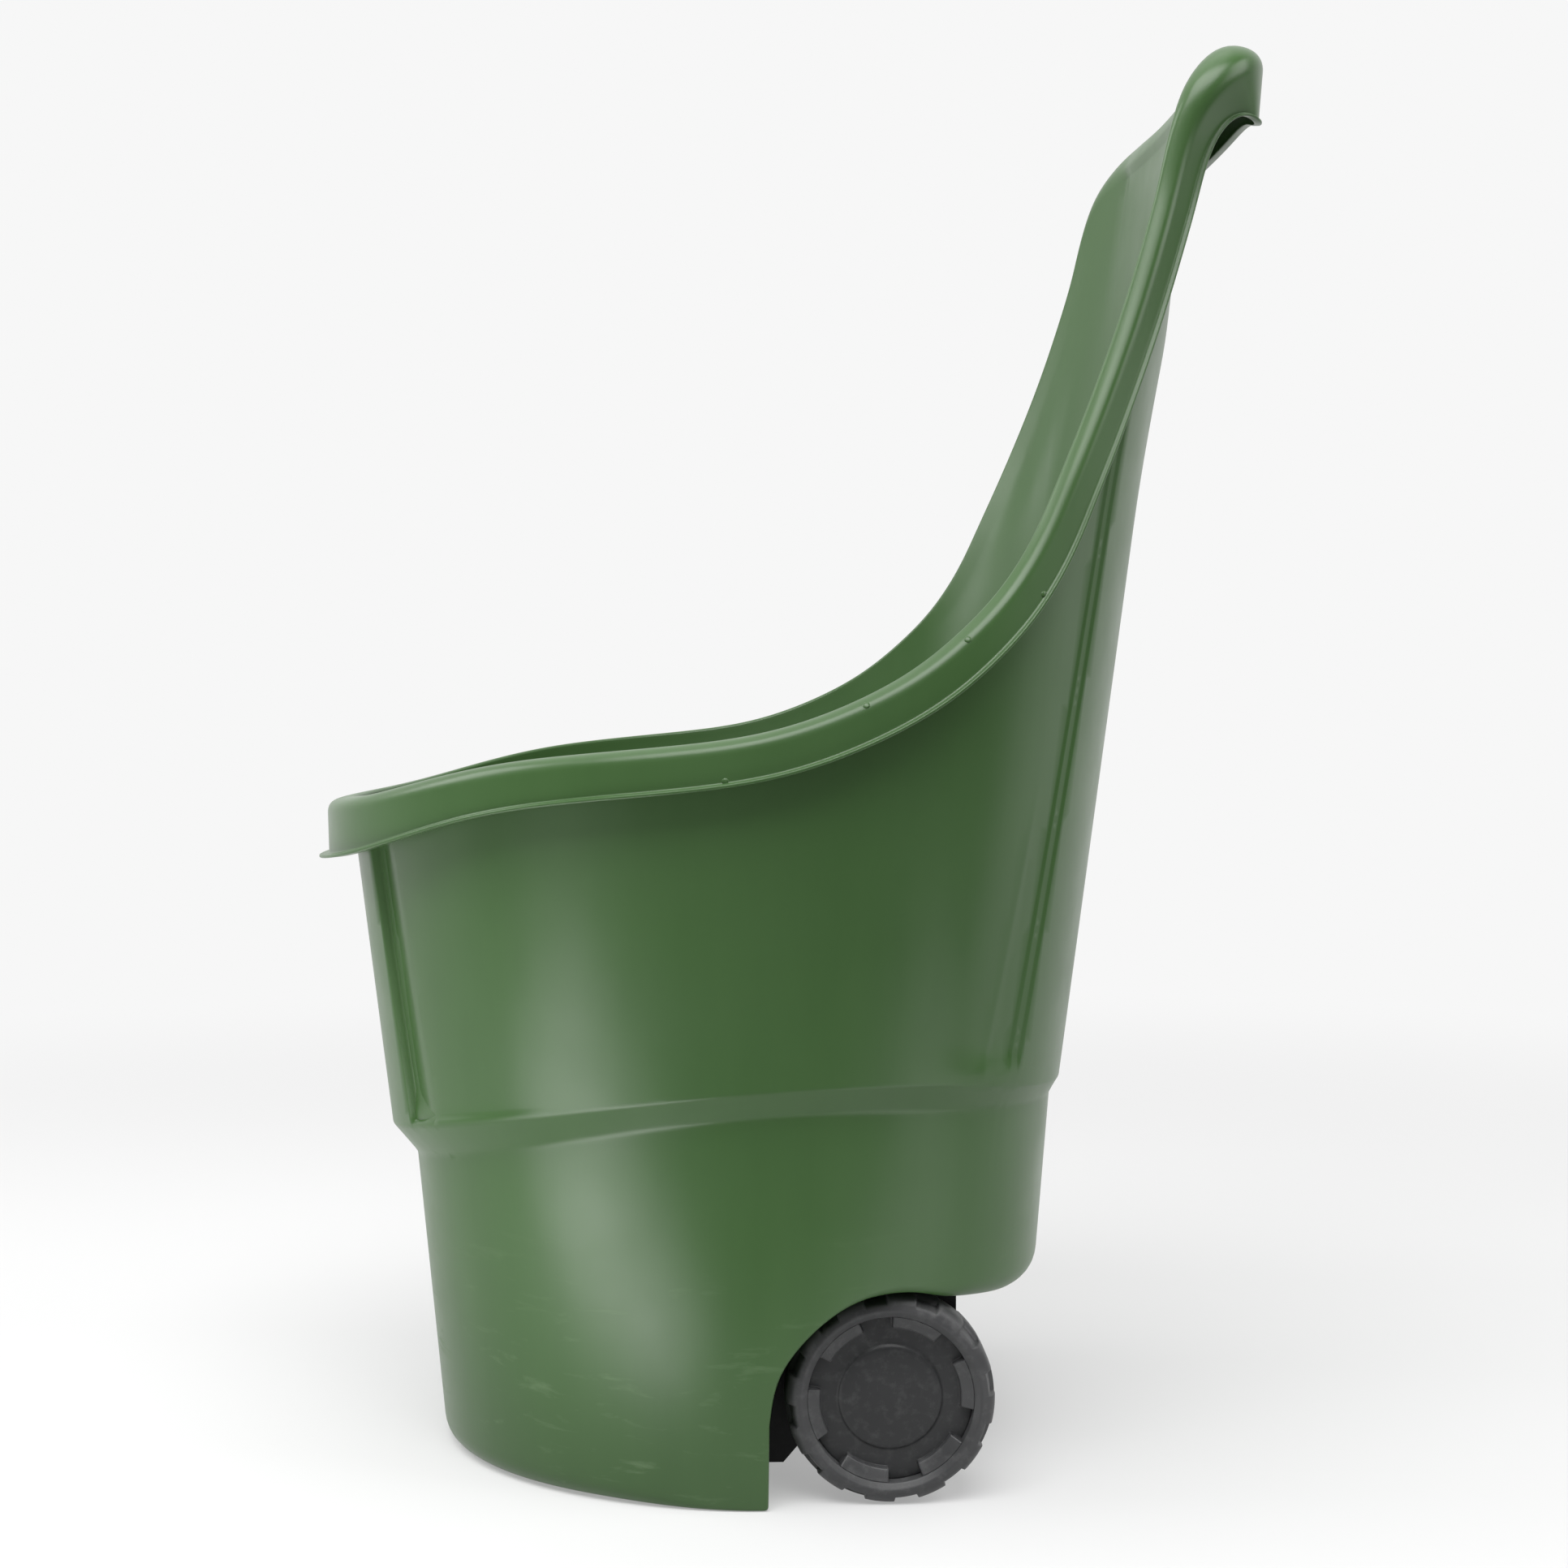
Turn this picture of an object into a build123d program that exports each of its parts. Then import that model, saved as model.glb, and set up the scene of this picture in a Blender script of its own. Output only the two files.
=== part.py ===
from build123d import *
import math
import os

os.makedirs("parts", exist_ok=True)

# ---------------------------------------------------------------- dimensions
# Frame: +Z up, front lip of the tub toward -X, handle toward +X, Y across.
# The floor is z = 0. All lengths in millimetres.
WALL = 3.0                 # moulded wall thickness of the tub
XM = -15.0                 # plan station where the tub is widest

BASE_FRONT_X = -211.0      # front wall at z = 0, lower tub
LOW_FRONT_SLOPE = -0.0967  # front wall draft, lower tub
UP_FRONT_X = -219.4        # front wall extrapolated to z = 0, upper tub
UP_FRONT_SLOPE = -0.122
LOW_BACK_X = 151.4         # back wall at z = 0, lower tub
LOW_BACK_SLOPE = 0.0814
UP_BACK_X = 146.2          # back wall extrapolated to z = 0, upper tub
UP_BACK_SLOPE = 0.1298
LOW_HALF_W = 172.0         # half width at z = 0, lower tub
LOW_SIDE_SLOPE = 0.083
UP_HALF_W = 166.4          # half width extrapolated to z = 0, upper tub
UP_SIDE_SLOPE = 0.14

STEP_PEAK_Z = 236.0        # height of the moulded ledge at x = 40
STEP_FALL = 50.0           # how far the ledge falls 268 mm forward of x = 40

# rear wheel arch and raised rear floor, side view (x, z)
ARCH = [(-13.0, -5.0), (-12.5, 50.0), (-7.0, 77.0), (4.0, 94.5), (20.0, 110.0),
        (38.0, 120.0), (57.0, 123.0), (74.0, 121.5), (86.0, 117.5),
        (98.0, 115.0), (112.0, 114.5)]
REAR_FLOOR_Z = 114.5

# top line of the rim, side view (x, z) from the front lip to the handle corner
RIM_TOP = [(-268.0, 398.0), (-245.0, 402.0), (-217.0, 409.5), (-181.0, 419.0),
           (-157.0, 423.7), (-123.0, 428.0), (-92.0, 431.0), (-48.0, 435.4),
           (-22.0, 439.4), (1.0, 445.3), (33.0, 457.6), (68.0, 477.0),
           (92.6, 497.2), (112.0, 517.0), (126.0, 536.5), (137.0, 556.5),
           (145.4, 575.6), (153.3, 594.5), (164.4, 621.5), (172.8, 644.3),
           (181.0, 668.0), (188.8, 693.0), (195.3, 716.0), (199.2, 731.5),
           (203.0, 748.0)]
HANDLE_TOP_Z = 840.0       # top of the handle loop
CORNER_Y = 106.0           # half length of the straight part of the handle
CORNER_R = 50.0            # upper corner radius seen from the front

WHEEL_R = 60.0
WHEEL_X = 57.0
WHEEL_Z = 60.0
WHEEL_OUT_Y = 165.0        # outer face of the wheel
WHEEL_IN_Y = 131.0         # inner face of the wheel
AXLE_R = 5.0
BORE_CLEAR = 0.05
CHEEK_OUT_Y = 124.0        # outer face of the axle carrier cheeks
CHEEK_T = 4.0
CARRIER_X0, CARRIER_X1 = -11.6, 98.0
SKIN_GAP = 0.60            # carrier sits this far under the tub skin
FRAME_DX = -2.2            # puts the frame origin under the middle of the object


# ---------------------------------------------------------------- tub plan law
def low_sec(z):
    return (XM - (BASE_FRONT_X + LOW_FRONT_SLOPE * z),
            LOW_BACK_X + LOW_BACK_SLOPE * z - XM,
            LOW_HALF_W + LOW_SIDE_SLOPE * z,
            2.5 - 0.15 * z / 240.0)


def up_sec(z):
    return (XM - (UP_FRONT_X + UP_FRONT_SLOPE * z),
            UP_BACK_X + UP_BACK_SLOPE * z - XM,
            UP_HALF_W + UP_SIDE_SLOPE * z,
            2.3 - 0.1 * (z - 200.0) / 650.0)


def section_wire(sec, z, off=0.0):
    """closed plan outline made of four quarter curves"""
    af, ar, w, n = sec
    af, ar, w = af + off, ar + off, w + off
    q = []
    m = 8
    for k in range(m + 1):                       # front quarter, near side
        a = k / m * math.pi / 2
        q.append((XM - af * math.cos(a), -w * math.sin(a)))
    r = []
    for k in range(m + 1):                       # rear quarter, near side
        a = math.pi / 2 - k / m * math.pi / 2
        r.append((XM + ar * math.cos(a) ** (2 / n), -w * math.sin(a) ** (2 / n)))
    edges = []
    f1 = [Vector(x, y, z) for x, y in q]
    r1 = [Vector(x, y, z) for x, y in r]
    r2 = [Vector(x, -y, z) for x, y in reversed(r)]
    f2 = [Vector(x, -y, z) for x, y in reversed(q)]
    edges.append(Edge.make_spline(f1, tangents=[Vector(0, -1, 0), Vector(1, 0, 0)]))
    edges.append(Edge.make_spline(r1, tangents=[Vector(1, 0, 0), Vector(0, 1, 0)]))
    edges.append(Edge.make_spline(r2, tangents=[Vector(0, 1, 0), Vector(-1, 0, 0)]))
    edges.append(Edge.make_spline(f2, tangents=[Vector(-1, 0, 0), Vector(0, -1, 0)]))
    return Wire(edges)


def body_loft(law, z0, z1, off=0.0):
    return Solid.make_loft([section_wire(law(z0), z0, off), section_wire(law(z1), z1, off)], True)


def xz_prism(points, y0, y1, spline_from=None, spline_to=None):
    """extrude a closed side-view outline along Y; part of it may be a spline"""
    v = [Vector(x, y0, z) for x, z in points]
    edges = []
    i = 0
    n = len(v)
    while i < n:
        if spline_from is not None and i == spline_from:
            edges.append(Edge.make_spline(v[spline_from:spline_to + 1]))
            i = spline_to
            continue
        edges.append(Edge.make_line(v[i], v[(i + 1) % n]))
        i += 1
    face = Face(Wire(edges))
    return Solid.extrude(face, Vector(0, y1 - y0, 0))


# ---------------------------------------------------------------- rim path
def half_width(x, z):
    af, ar, w, n = up_sec(z)
    if x <= XM:
        u = min(1.0, (XM - x) / af)
        return w * math.sqrt(max(0.0, 1 - u * u))
    u = min(1.0, (x - XM) / ar)
    return w * max(0.0, 1 - u ** n) ** (1 / n)


def back_x(y, z):
    af, ar, w, n = up_sec(z)
    return XM + ar * max(0.0, 1 - (abs(y) / w) ** n) ** (1 / n)


def wall_normal(p):
    """outward unit normal of the upper tub wall at p (near side, y <= 0)"""
    x, y, z = p

    def level(x, y, z):
        af, ar, w, n = up_sec(z)
        if x <= XM:
            return ((XM - x) / af) ** 2 + (abs(y) / w) ** 2
        return ((x - XM) / ar) ** n + (abs(y) / w) ** n
    e = 0.05
    g = Vector(level(x + e, y, z) - level(x - e, y, z),
               0.0 if abs(y) < 0.01 else level(x, y + e, z) - level(x, y - e, z),
               level(x, y, z + e) - level(x, y, z - e))
    return g.normalized()


def smooth(t):
    t = max(0.0, min(1.0, t))
    return t * t * (3 - 2 * t)


def lerp_table(x, table):
    if x <= table[0][0]:
        return table[0][1]
    for (a, va), (b, vb) in zip(table, table[1:]):
        if x <= b:
            return va + (vb - va) * (x - a) / (b - a)
    return table[-1][1]


def rim_path():
    """near-side stations along the rim: point on the wall, and section sizes"""
    pts = []
    rt = Edge.make_spline([Vector(x, 0, z) for x, z in RIM_TOP])
    m = 26
    fr = [0.0, 0.012, 0.03, 0.055, 0.085] + [0.12 + 0.88 * k / m for k in range(m + 1)]
    for f in fr:
        q = rt.position_at(f)
        x = q.X
        pts.append((x, -half_width(x, q.Z) if f > 0 else 0.0, q.Z))
    # continue up the side of the back, round the upper corner, along the handle
    zc = HANDLE_TOP_Z - CORNER_R
    y_end = pts[-1][1]
    for z in (762.0, 776.0):
        t = (z - 748.0) / (zc - 748.0)
        y = y_end + (-(CORNER_Y + CORNER_R) - y_end) * smooth(t)
        pts.append((back_x(y, z), y, z))
    for k in range(7):
        b = math.radians(15 * k)
        y = -(CORNER_Y + CORNER_R * math.cos(b))
        z = zc + CORNER_R * math.sin(b)
        pts.append((back_x(y, z), y, z))
    for y in (-88.0, -66.0, -44.0, -22.0, 0.0):
        pts.append((back_x(y, HANDLE_TOP_Z), y, HANDLE_TOP_Z))
    return pts


DEPTH = [(-268, 37), (-245, 34.5), (-217, 31), (-181, 28), (-123, 26), (0, 25),
         (87, 24), (139, 24), (172, 25), (189, 26.5), (203, 28), (215, 30)]


def stations():
    pts = rim_path()
    n = len(pts)
    out = []
    for i, p in enumerate(pts):
        a = Vector(*pts[max(0, i - 1)])
        b = Vector(*pts[min(n - 1, i + 1)])
        t = (b - a).normalized()
        if i == 0 or i == n - 1:
            t = Vector(0, -1, 0) if i == 0 else Vector(0, 1, 0)
        nrm = wall_normal(p)
        if i == 0 or i == n - 1:
            nrm = Vector(nrm.X, 0, nrm.Z).normalized()
        d = nrm.cross(t)
        if d.Z > 0 and i < 5:
            d = d * -1
        d = d.normalized()
        if i > 0 and d.dot(out[-1]["d"]) < 0:
            d = d * -1
        # handle factor 0 on the sides .. 1 on the handle
        h = smooth((p[2] - 774.0) / (836.0 - 774.0))
        k = smooth((-p[1] - 40.0) / 70.0)          # 1 at the corners, 0 mid handle
        out.append({
            "p": Vector(*p), "n": nrm, "d": d,
            "R": 7.0 + 22.0 * h,
            "n1": 4.0 + 19.0 * h,
            "o": (17.0 + 3.0 * smooth((p[2] - 640.0) / 100.0)
                  + h * (18.0 + 3.0 * k)),
            "dep": lerp_table(p[0], DEPTH),
            "h": h,
            "lip": 3.5 + 3.5 * smooth((-190.0 - p[0]) / 70.0) - 2.0 * h})
    return out


def rim_polygon(s):
    R, n1, o, d, h, lip = s["R"], s["n1"], s["o"], s["dep"], s["h"], s["lip"]
    n2 = n1 + 7.0 + 8.0 * h
    t2 = 5.0 + 3.0 * h
    prof = [(-4.0, R + 9), (-4.0, R), (-4.0 + 0.28 * (n1 + 4), 0.29 * R), (n1, 0.0),
            (n2, t2), (o, d - 3.0), (o + lip, d - 1.2), (o + lip, d + 0.8),
            (o - 2.6, d + 0.8), (n2 - 2.8, t2 + 2.4), (n1, 3.0),
            (-4.0 + 0.28 * (n1 + 4) + 3.2, 0.29 * R + 3.0), (1.0, R + 1.5), (1.0, R + 9)]
    return [s["p"] + s["n"] * a + s["d"] * b for a, b in prof]


def mirror_y(shape):
    return shape.mirror(Plane.XZ)


def polywire(pts):
    edges = [Edge.make_line(pts[i], pts[(i + 1) % len(pts)]) for i in range(len(pts))]
    return Wire(edges)


# ---------------------------------------------------------------- tub shell
def make_tub():
    st = stations()
    top_cut = []
    for s in st:
        q = s["p"] + s["d"] * (s["R"] + 3.0)
        if not top_cut or q.X > top_cut[-1][0] + 2.0:
            top_cut.append((q.X, q.Z))
    x0, z0 = top_cut[0]
    x1, z1 = top_cut[-1]
    outline = [(x0 - 60, z0 - 8.0)] + top_cut + [(x1 + 60, z1 + 8.0), (x1 + 60, 900.0), (x0 - 60, 900.0)]
    above_rim = xz_prism(outline, -320, 320)

    # ledge surface
    def ledge(dz):
        pts = []
        for x in (-320, -260, -200, -140, -80, -20, 40, 100, 160, 220, 280):
            pts.append((float(x), STEP_PEAK_Z + dz - STEP_FALL * ((x - 40) / 268.0) ** 2))
        n = len(pts)
        return xz_prism(pts + [(280.0, 900.0), (-320.0, 900.0)], -320, 320, 0, n - 1)

    low_out = body_loft(low_sec, 0.0, 262.0)
    low_in = body_loft(low_sec, 3.0, 262.0, -WALL)
    up_out = body_loft(up_sec, 150.0, 852.0) & ledge(0.0)
    up_in = body_loft(up_sec, 150.0, 853.0, -WALL) & ledge(WALL)

    # arch void and its 3 mm skin
    n = len(ARCH)
    void = xz_prism(ARCH + [(330.0, REAR_FLOOR_Z), (330.0, -40.0), (-13.0, -40.0)], -330, 330, 1, n - 1)
    skin_pts = []
    arch_edge = Edge.make_spline([Vector(x, 0, z) for x, z in ARCH[1:]])
    for f in (0.0, 0.1, 0.2, 0.3, 0.4, 0.5, 0.6, 0.7, 0.8, 0.9, 1.0):
        q = arch_edge.position_at(f)
        t = arch_edge.tangent_at(f)
        skin_pts.append((q.X - t.Z * WALL, q.Z + t.X * WALL))
    skin_pts[-1] = (112.0, REAR_FLOOR_Z + WALL)
    grown = xz_prism([(-13.0 - WALL, -40.0), (-13.0 - WALL, 0.0)] + skin_pts
                     + [(330.0, REAR_FLOOR_Z + WALL), (330.0, -40.0)], -330, 330, 2, 2 + len(skin_pts) - 1)

    outer = low_out + up_out
    cavity = (low_in + up_in) - grown
    body = outer - void
    body = body - cavity
    body = body - above_rim

    polys = [rim_polygon(s) for s in st]
    flip = [[Vector(v.X, -v.Y, v.Z) for v in poly] for poly in polys]
    polys = [flip[2], flip[1]] + polys + [flip[-2], flip[-3]]
    rim = Solid.make_loft([polywire(p) for p in polys], False)
    half = Solid.make_box(900, 400, 700, Plane((-450, -400, 250)))
    rim = rim & half
    tub = body + rim
    tub = tub + mirror_y(rim)
    return tub


# ---------------------------------------------------------------- axle carrier
SCREW_Y = 92.0
SCREW_X = 57.0             # two vertical screws, at the crown of the arch
SCREW_Z = 30.0             # two horizontal screws, in the riser wall
SCREW_R = 2.5
HOLE_R = 2.75
HEAD_R, HEAD_T = 5.5, 2.6
NUT_AF, NUT_T = 8.0, 4.0
CROWN_Z = 123.0
RISER_X = -12.7


def arch_offset(dist, count=10):
    e = Edge.make_spline([Vector(x, 0, z) for x, z in ARCH[1:]])
    pts = []
    for k in range(count + 1):
        f = k / count
        q, t = e.position_at(f), e.tangent_at(f)
        pts.append((q.X + t.Z * dist, q.Z - t.X * dist))
    return pts


def cyl(r, p0, direction, length):
    return Solid.make_cylinder(r, length, Plane(origin=p0, z_dir=direction))


def ycyl(r, y0, y1, x=WHEEL_X, z=WHEEL_Z):
    return cyl(r, (x, min(y0, y1), z), (0, 1, 0), abs(y1 - y0))


def joined(solids):
    out = solids[0]
    for k in solids[1:]:
        out = out + k
    return out


def make_carrier():
    top = [p for p in arch_offset(SKIN_GAP) if p[0] < CARRIER_X1 - 3]
    top.append((CARRIER_X1, REAR_FLOOR_Z - 0.5))
    prof = top + [(CARRIER_X1, 90.0), (86.0, 66.0), (72.0, 48.0), (64.0, 44.5), (50.0, 44.5),
                  (34.0, 45.0), (6.0, 23.0), (-3.0, 12.5), (-12.2, 12.5)]
    body = xz_prism(prof, -CHEEK_OUT_Y, CHEEK_OUT_Y, 0, len(top) - 1)
    low = arch_offset(SKIN_GAP + CHEEK_T)
    low = [p for p in low if p[0] < CARRIER_X1 - 3] + [(CARRIER_X1 + 4, 110.6)]
    hollow = xz_prism(low + [(CARRIER_X1 + 4, -10.0), (low[0][0], -10.0)],
                      -(CHEEK_OUT_Y - CHEEK_T), CHEEK_OUT_Y - CHEEK_T, 0, len(low) - 1)
    body = body - hollow
    for s in (-1, 1):
        body = body + ycyl(11.0, s * (CHEEK_OUT_Y - 12), s * (CHEEK_OUT_Y - 0.5))
        # stiffening ribs under the crown
    for y in (-60.0, 0.0, 60.0):
        rib = xz_prism(prof, y - 1.5, y + 1.5, 0, len(top) - 1)
        rib = rib - Solid.make_box(160, 10, 84, Plane((-20 + 12.5, y - 5, 4)))
        body = body + rib
    body = body - ycyl(AXLE_R + BORE_CLEAR, -200, 200)
    for s in (-1, 1):
        body = body - cyl(HOLE_R, (SCREW_X, s * SCREW_Y, CROWN_Z - 12), (0, 0, 1), 20)
        body = body - cyl(HOLE_R, (RISER_X - 8, s * SCREW_Y, SCREW_Z), (1, 0, 0), 20)
    return body


def make_fixings():
    screws, nuts = [], []
    for s in (-1, 1):
        z_head = CROWN_Z + WALL + 0.35
        sc = cyl(SCREW_R, (SCREW_X, s * SCREW_Y, z_head - 13.0), (0, 0, 1), 13.05)
        sc = sc + cyl(HEAD_R, (SCREW_X, s * SCREW_Y, z_head + 0.05), (0, 0, 1), HEAD_T)
        screws.append(sc)
        nut = Solid.extrude(Face(Wire([e for e in polywire_hex((SCREW_X, s * SCREW_Y, CROWN_Z - SKIN_GAP - CHEEK_T - 0.15 - NUT_T), "z")])),
                            Vector(0, 0, NUT_T))
        nuts.append(nut - cyl(SCREW_R + 0.02, (SCREW_X, s * SCREW_Y, CROWN_Z - 20), (0, 0, 1), 30))
        x_head = RISER_X - WALL - 0.35
        sc = cyl(SCREW_R, (x_head - 0.05, s * SCREW_Y, SCREW_Z), (1, 0, 0), 13.35)
        sc = sc + cyl(HEAD_R, (x_head - HEAD_T, s * SCREW_Y, SCREW_Z), (1, 0, 0), HEAD_T)
        screws.append(sc)
        nut = Solid.extrude(Face(Wire([e for e in polywire_hex((RISER_X + SKIN_GAP + CHEEK_T + 0.35, s * SCREW_Y, SCREW_Z), "x")])),
                            Vector(NUT_T, 0, 0))
        nuts.append(nut - cyl(SCREW_R + 0.02, (RISER_X - 5, s * SCREW_Y, SCREW_Z), (1, 0, 0), 30))
    return screws, nuts


def polywire_hex(c, axis):
    pts = []
    for k in range(6):
        a = math.radians(60 * k)
        r = NUT_AF / 2 / math.cos(math.radians(30))
        if axis == "z":
            pts.append(Vector(c[0] + r * math.cos(a), c[1] + r * math.sin(a), c[2]))
        else:
            pts.append(Vector(c[0], c[1] + r * math.cos(a), c[2] + r * math.sin(a)))
    return [Edge.make_line(pts[i], pts[(i + 1) % 6]) for i in range(6)]


# ---------------------------------------------------------------- wheels
HUB_R = 14.0
HUB_END_Y = 149.0
SEAT_R = 45.2
COVER_R = 45.0
NOTCHES = 6
NOTCH_START = 100.5
GROOVES = 12
GROOVE_START = 8.9


def revolve_y(profile, s):
    """turn a (radius, |y|) outline about the wheel axis; s is the side, -1 or 1"""
    pts = [Vector(WHEEL_X + r, s * y, WHEEL_Z) for r, y in profile]
    face = Face(polywire(pts))
    return Solid.revolve(face, 360, Axis((WHEEL_X, 0, WHEEL_Z), (0, 1, 0)))


def sector_block(r0, r1, width, y0, y1, deg):
    """block centred on a radius at angle deg, seen from the outer side"""
    b = Solid.make_box(r1 - r0, abs(y1 - y0), width, Plane((r0, min(y0, y1), -width / 2)))
    b = b.rotate(Axis((0, 0, 0), (0, 1, 0)), -deg)
    return b.translate(Vector(WHEEL_X, 0, WHEEL_Z))


def make_wheel(s):
    prof = [(AXLE_R + BORE_CLEAR, WHEEL_IN_Y), (HUB_R, WHEEL_IN_Y), (HUB_R, 143.0), (46.0, 143.0),
            (48.5, 132.0), (52.0, WHEEL_IN_Y), (57.5, 133.0), (WHEEL_R, 137.5), (WHEEL_R, 157.5),
            (58.6, 161.5), (55.0, 164.2), (51.5, WHEEL_OUT_Y), (49.0, 164.2), (SEAT_R, 160.0),
            (SEAT_R, 147.0), (HUB_R, 147.0), (HUB_R, HUB_END_Y), (AXLE_R + BORE_CLEAR, HUB_END_Y)]
    w = revolve_y(prof, s)
    cuts = [sector_block(WHEEL_R - 3.5, WHEEL_R + 4, 13.5, s * 154.0, s * 166.0,
                         GROOVE_START + 360.0 / GROOVES * k) for k in range(GROOVES)]
    cuts += [sector_block(WHEEL_R - 3.5, WHEEL_R + 4, 13.5, s * 130.0, s * 142.0,
                          GROOVE_START + 15 + 360.0 / GROOVES * k) for k in range(GROOVES)]
    for c in cuts:
        w = w - c
    for k in range(6):                                      # web ribs behind the face
        a = 60.0 * k + 10
        rib = sector_block(HUB_R - 1, 47.0, 3.0, s * 134.0, s * 144.0, a)
        w = w + rib
    return w


def make_cover(s):
    prof = [(0.0, 157.0), (42.2, 157.0), (42.2, 147.1), (COVER_R, 147.1), (COVER_R, 162.0),
            (44.2, 162.6), (38.2, 161.8), (37.4, 159.4), (31.5, 159.4), (28.5, 160.8), (15.0, 161.6),
            (0.0, 161.9)]
    c = revolve_y(prof, s)
    for k in range(NOTCHES):
        c = c - sector_block(37.0, 46.0, 17.5, s * 159.4, s * 164.0, NOTCH_START + 60.0 * k)
    return c


def write(name, shape):
    move = Vector(FRAME_DX, 0, 0)
    if isinstance(shape, list):
        shape = Compound(children=[k.translate(move) for k in shape])
    else:
        shape = shape.translate(move)
    shape.label = name
    export_step(shape, "parts/" + name + ".step")
    b = shape.bounding_box()
    print("%-24s vol %10.1f  x %.1f..%.1f y %.1f..%.1f z %.1f..%.1f valid %s solids %d" % (
        name, shape.volume, b.min.X, b.max.X, b.min.Y, b.max.Y, b.min.Z, b.max.Z,
        shape.is_valid, len(shape.solids())))


tub = make_tub()
for s in (-1, 1):
    tub = tub - cyl(HOLE_R, (SCREW_X, s * SCREW_Y, CROWN_Z - 3), (0, 0, 1), 12)
    tub = tub - cyl(HOLE_R, (RISER_X - 8, s * SCREW_Y, SCREW_Z), (1, 0, 0), 12)
write("tub_shell", tub)
write("axle_carrier", make_carrier())
write("axle_rod", ycyl(AXLE_R, -154.4, 154.4))
for side, s in (("left", -1), ("right", 1)):
    write("wheel_body_" + side, make_wheel(s))
    write("wheel_cover_" + side, make_cover(s))
    write("axle_spacer_" + side,
          ycyl(8.0, s * 124.2, s * 130.6) - ycyl(5.2, s * 120.0, s * 140.0))
    write("retaining_washer_" + side,
          ycyl(9.0, s * 149.4, s * 150.6) - ycyl(5.2, s * 140.0, s * 156.0))
    write("push_nut_" + side,
          ycyl(8.0, s * 150.8, s * 155.6) - ycyl(5.02, s * 150.0, s * 154.8))
screws, nuts = make_fixings()
write("carrier_screws", screws)
write("carrier_nuts", nuts)
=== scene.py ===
import bpy
import math
import numpy as np
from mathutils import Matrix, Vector
from mathutils.geometry import delaunay_2d_cdt


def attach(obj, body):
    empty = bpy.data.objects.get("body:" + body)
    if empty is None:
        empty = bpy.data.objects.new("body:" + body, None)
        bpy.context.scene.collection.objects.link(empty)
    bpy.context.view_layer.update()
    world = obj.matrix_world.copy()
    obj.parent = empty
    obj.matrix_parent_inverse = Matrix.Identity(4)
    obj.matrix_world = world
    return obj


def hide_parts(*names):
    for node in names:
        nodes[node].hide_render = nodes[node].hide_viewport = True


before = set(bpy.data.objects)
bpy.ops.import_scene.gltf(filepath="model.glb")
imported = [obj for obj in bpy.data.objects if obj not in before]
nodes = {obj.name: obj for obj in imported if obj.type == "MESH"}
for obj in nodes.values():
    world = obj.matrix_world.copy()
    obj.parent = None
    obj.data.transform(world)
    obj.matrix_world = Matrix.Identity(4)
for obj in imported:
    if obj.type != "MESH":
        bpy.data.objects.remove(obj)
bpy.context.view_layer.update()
MM = 0.001
DX = -2.2                      # the frame origin sits under the middle of the object

# ------------------------------------------------------------------ tub laws
XM = -15.0
WALL = 3.0


def smooth(t):
    t = np.clip(t, 0.0, 1.0)
    return t * t * (3 - 2 * t)


def low_sec(z):
    z = np.asarray(z, float)
    return XM - (-211.0 - 0.0967 * z), 148.4 + 0.0814 * z - XM, 172.0 + 0.083 * z, 2.5 - 0.15 * z / 240.0


def up_sec(z):
    z = np.asarray(z, float)
    return (XM - (-219.4 - 0.122 * z), 142.8 + 0.1298 * z + 8.5 * smooth((z - 560.0) / 230.0) - XM, 166.4 + 0.14 * z,
            2.3 - 0.1 * (z - 200.0) / 650.0)


def sec_point(sec, phi, off):
    af, ar, w, n = sec
    c, s = np.cos(phi), np.sin(phi)
    front = c >= 0
    ac, as_ = np.abs(c), np.abs(s)
    n2 = np.where(front, 2.0, n)
    x = np.where(front, XM - (af + off) * ac, XM + (ar + off) * ac ** (2 / n2))
    y = -(w + off) * as_ ** (2 / n2)
    return x, y


def sec_phi(sec, x, y, off):
    """the plan angle of a point, 0 at the front and pi at the back"""
    af, ar, w, n = sec
    ay = np.abs(y) / (w + off)
    front = x <= XM
    pf = np.arctan2(ay, np.maximum(XM - x, 0) / (af + off))
    bx = np.maximum(x - XM, 0) / (ar + off)
    pb = math.pi - np.arctan2(ay ** (n / 2), bx ** (n / 2))
    return np.where(front, pf, pb)


def step_blend(t):
    """0 under the ledge, 1 over it, straight between with small rounded ends"""
    a, b = 0.20, 0.10
    m = 1.0 / (1 - 0.5 * a - 0.5 * b)
    t = np.clip(t, 0, 1)
    lo = m * t * t / (2 * a)
    mid = m * (t - a / 2)
    hi = 1 - m * (1 - t) ** 2 / (2 * b)
    return np.where(t < a, lo, np.where(t > 1 - b, hi, mid))


def step_z(phi):
    x, _ = sec_point(low_sec(210.0), phi, 0.0)
    zl = 227.0 - 50.0 * ((x - 40.0) / 268.0) ** 2
    h = 18.0 + 3.0 * smooth((-120 - x) / 100.0) - 6.0 * smooth((x - 60) / 110.0)
    return zl, zl + h


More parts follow.
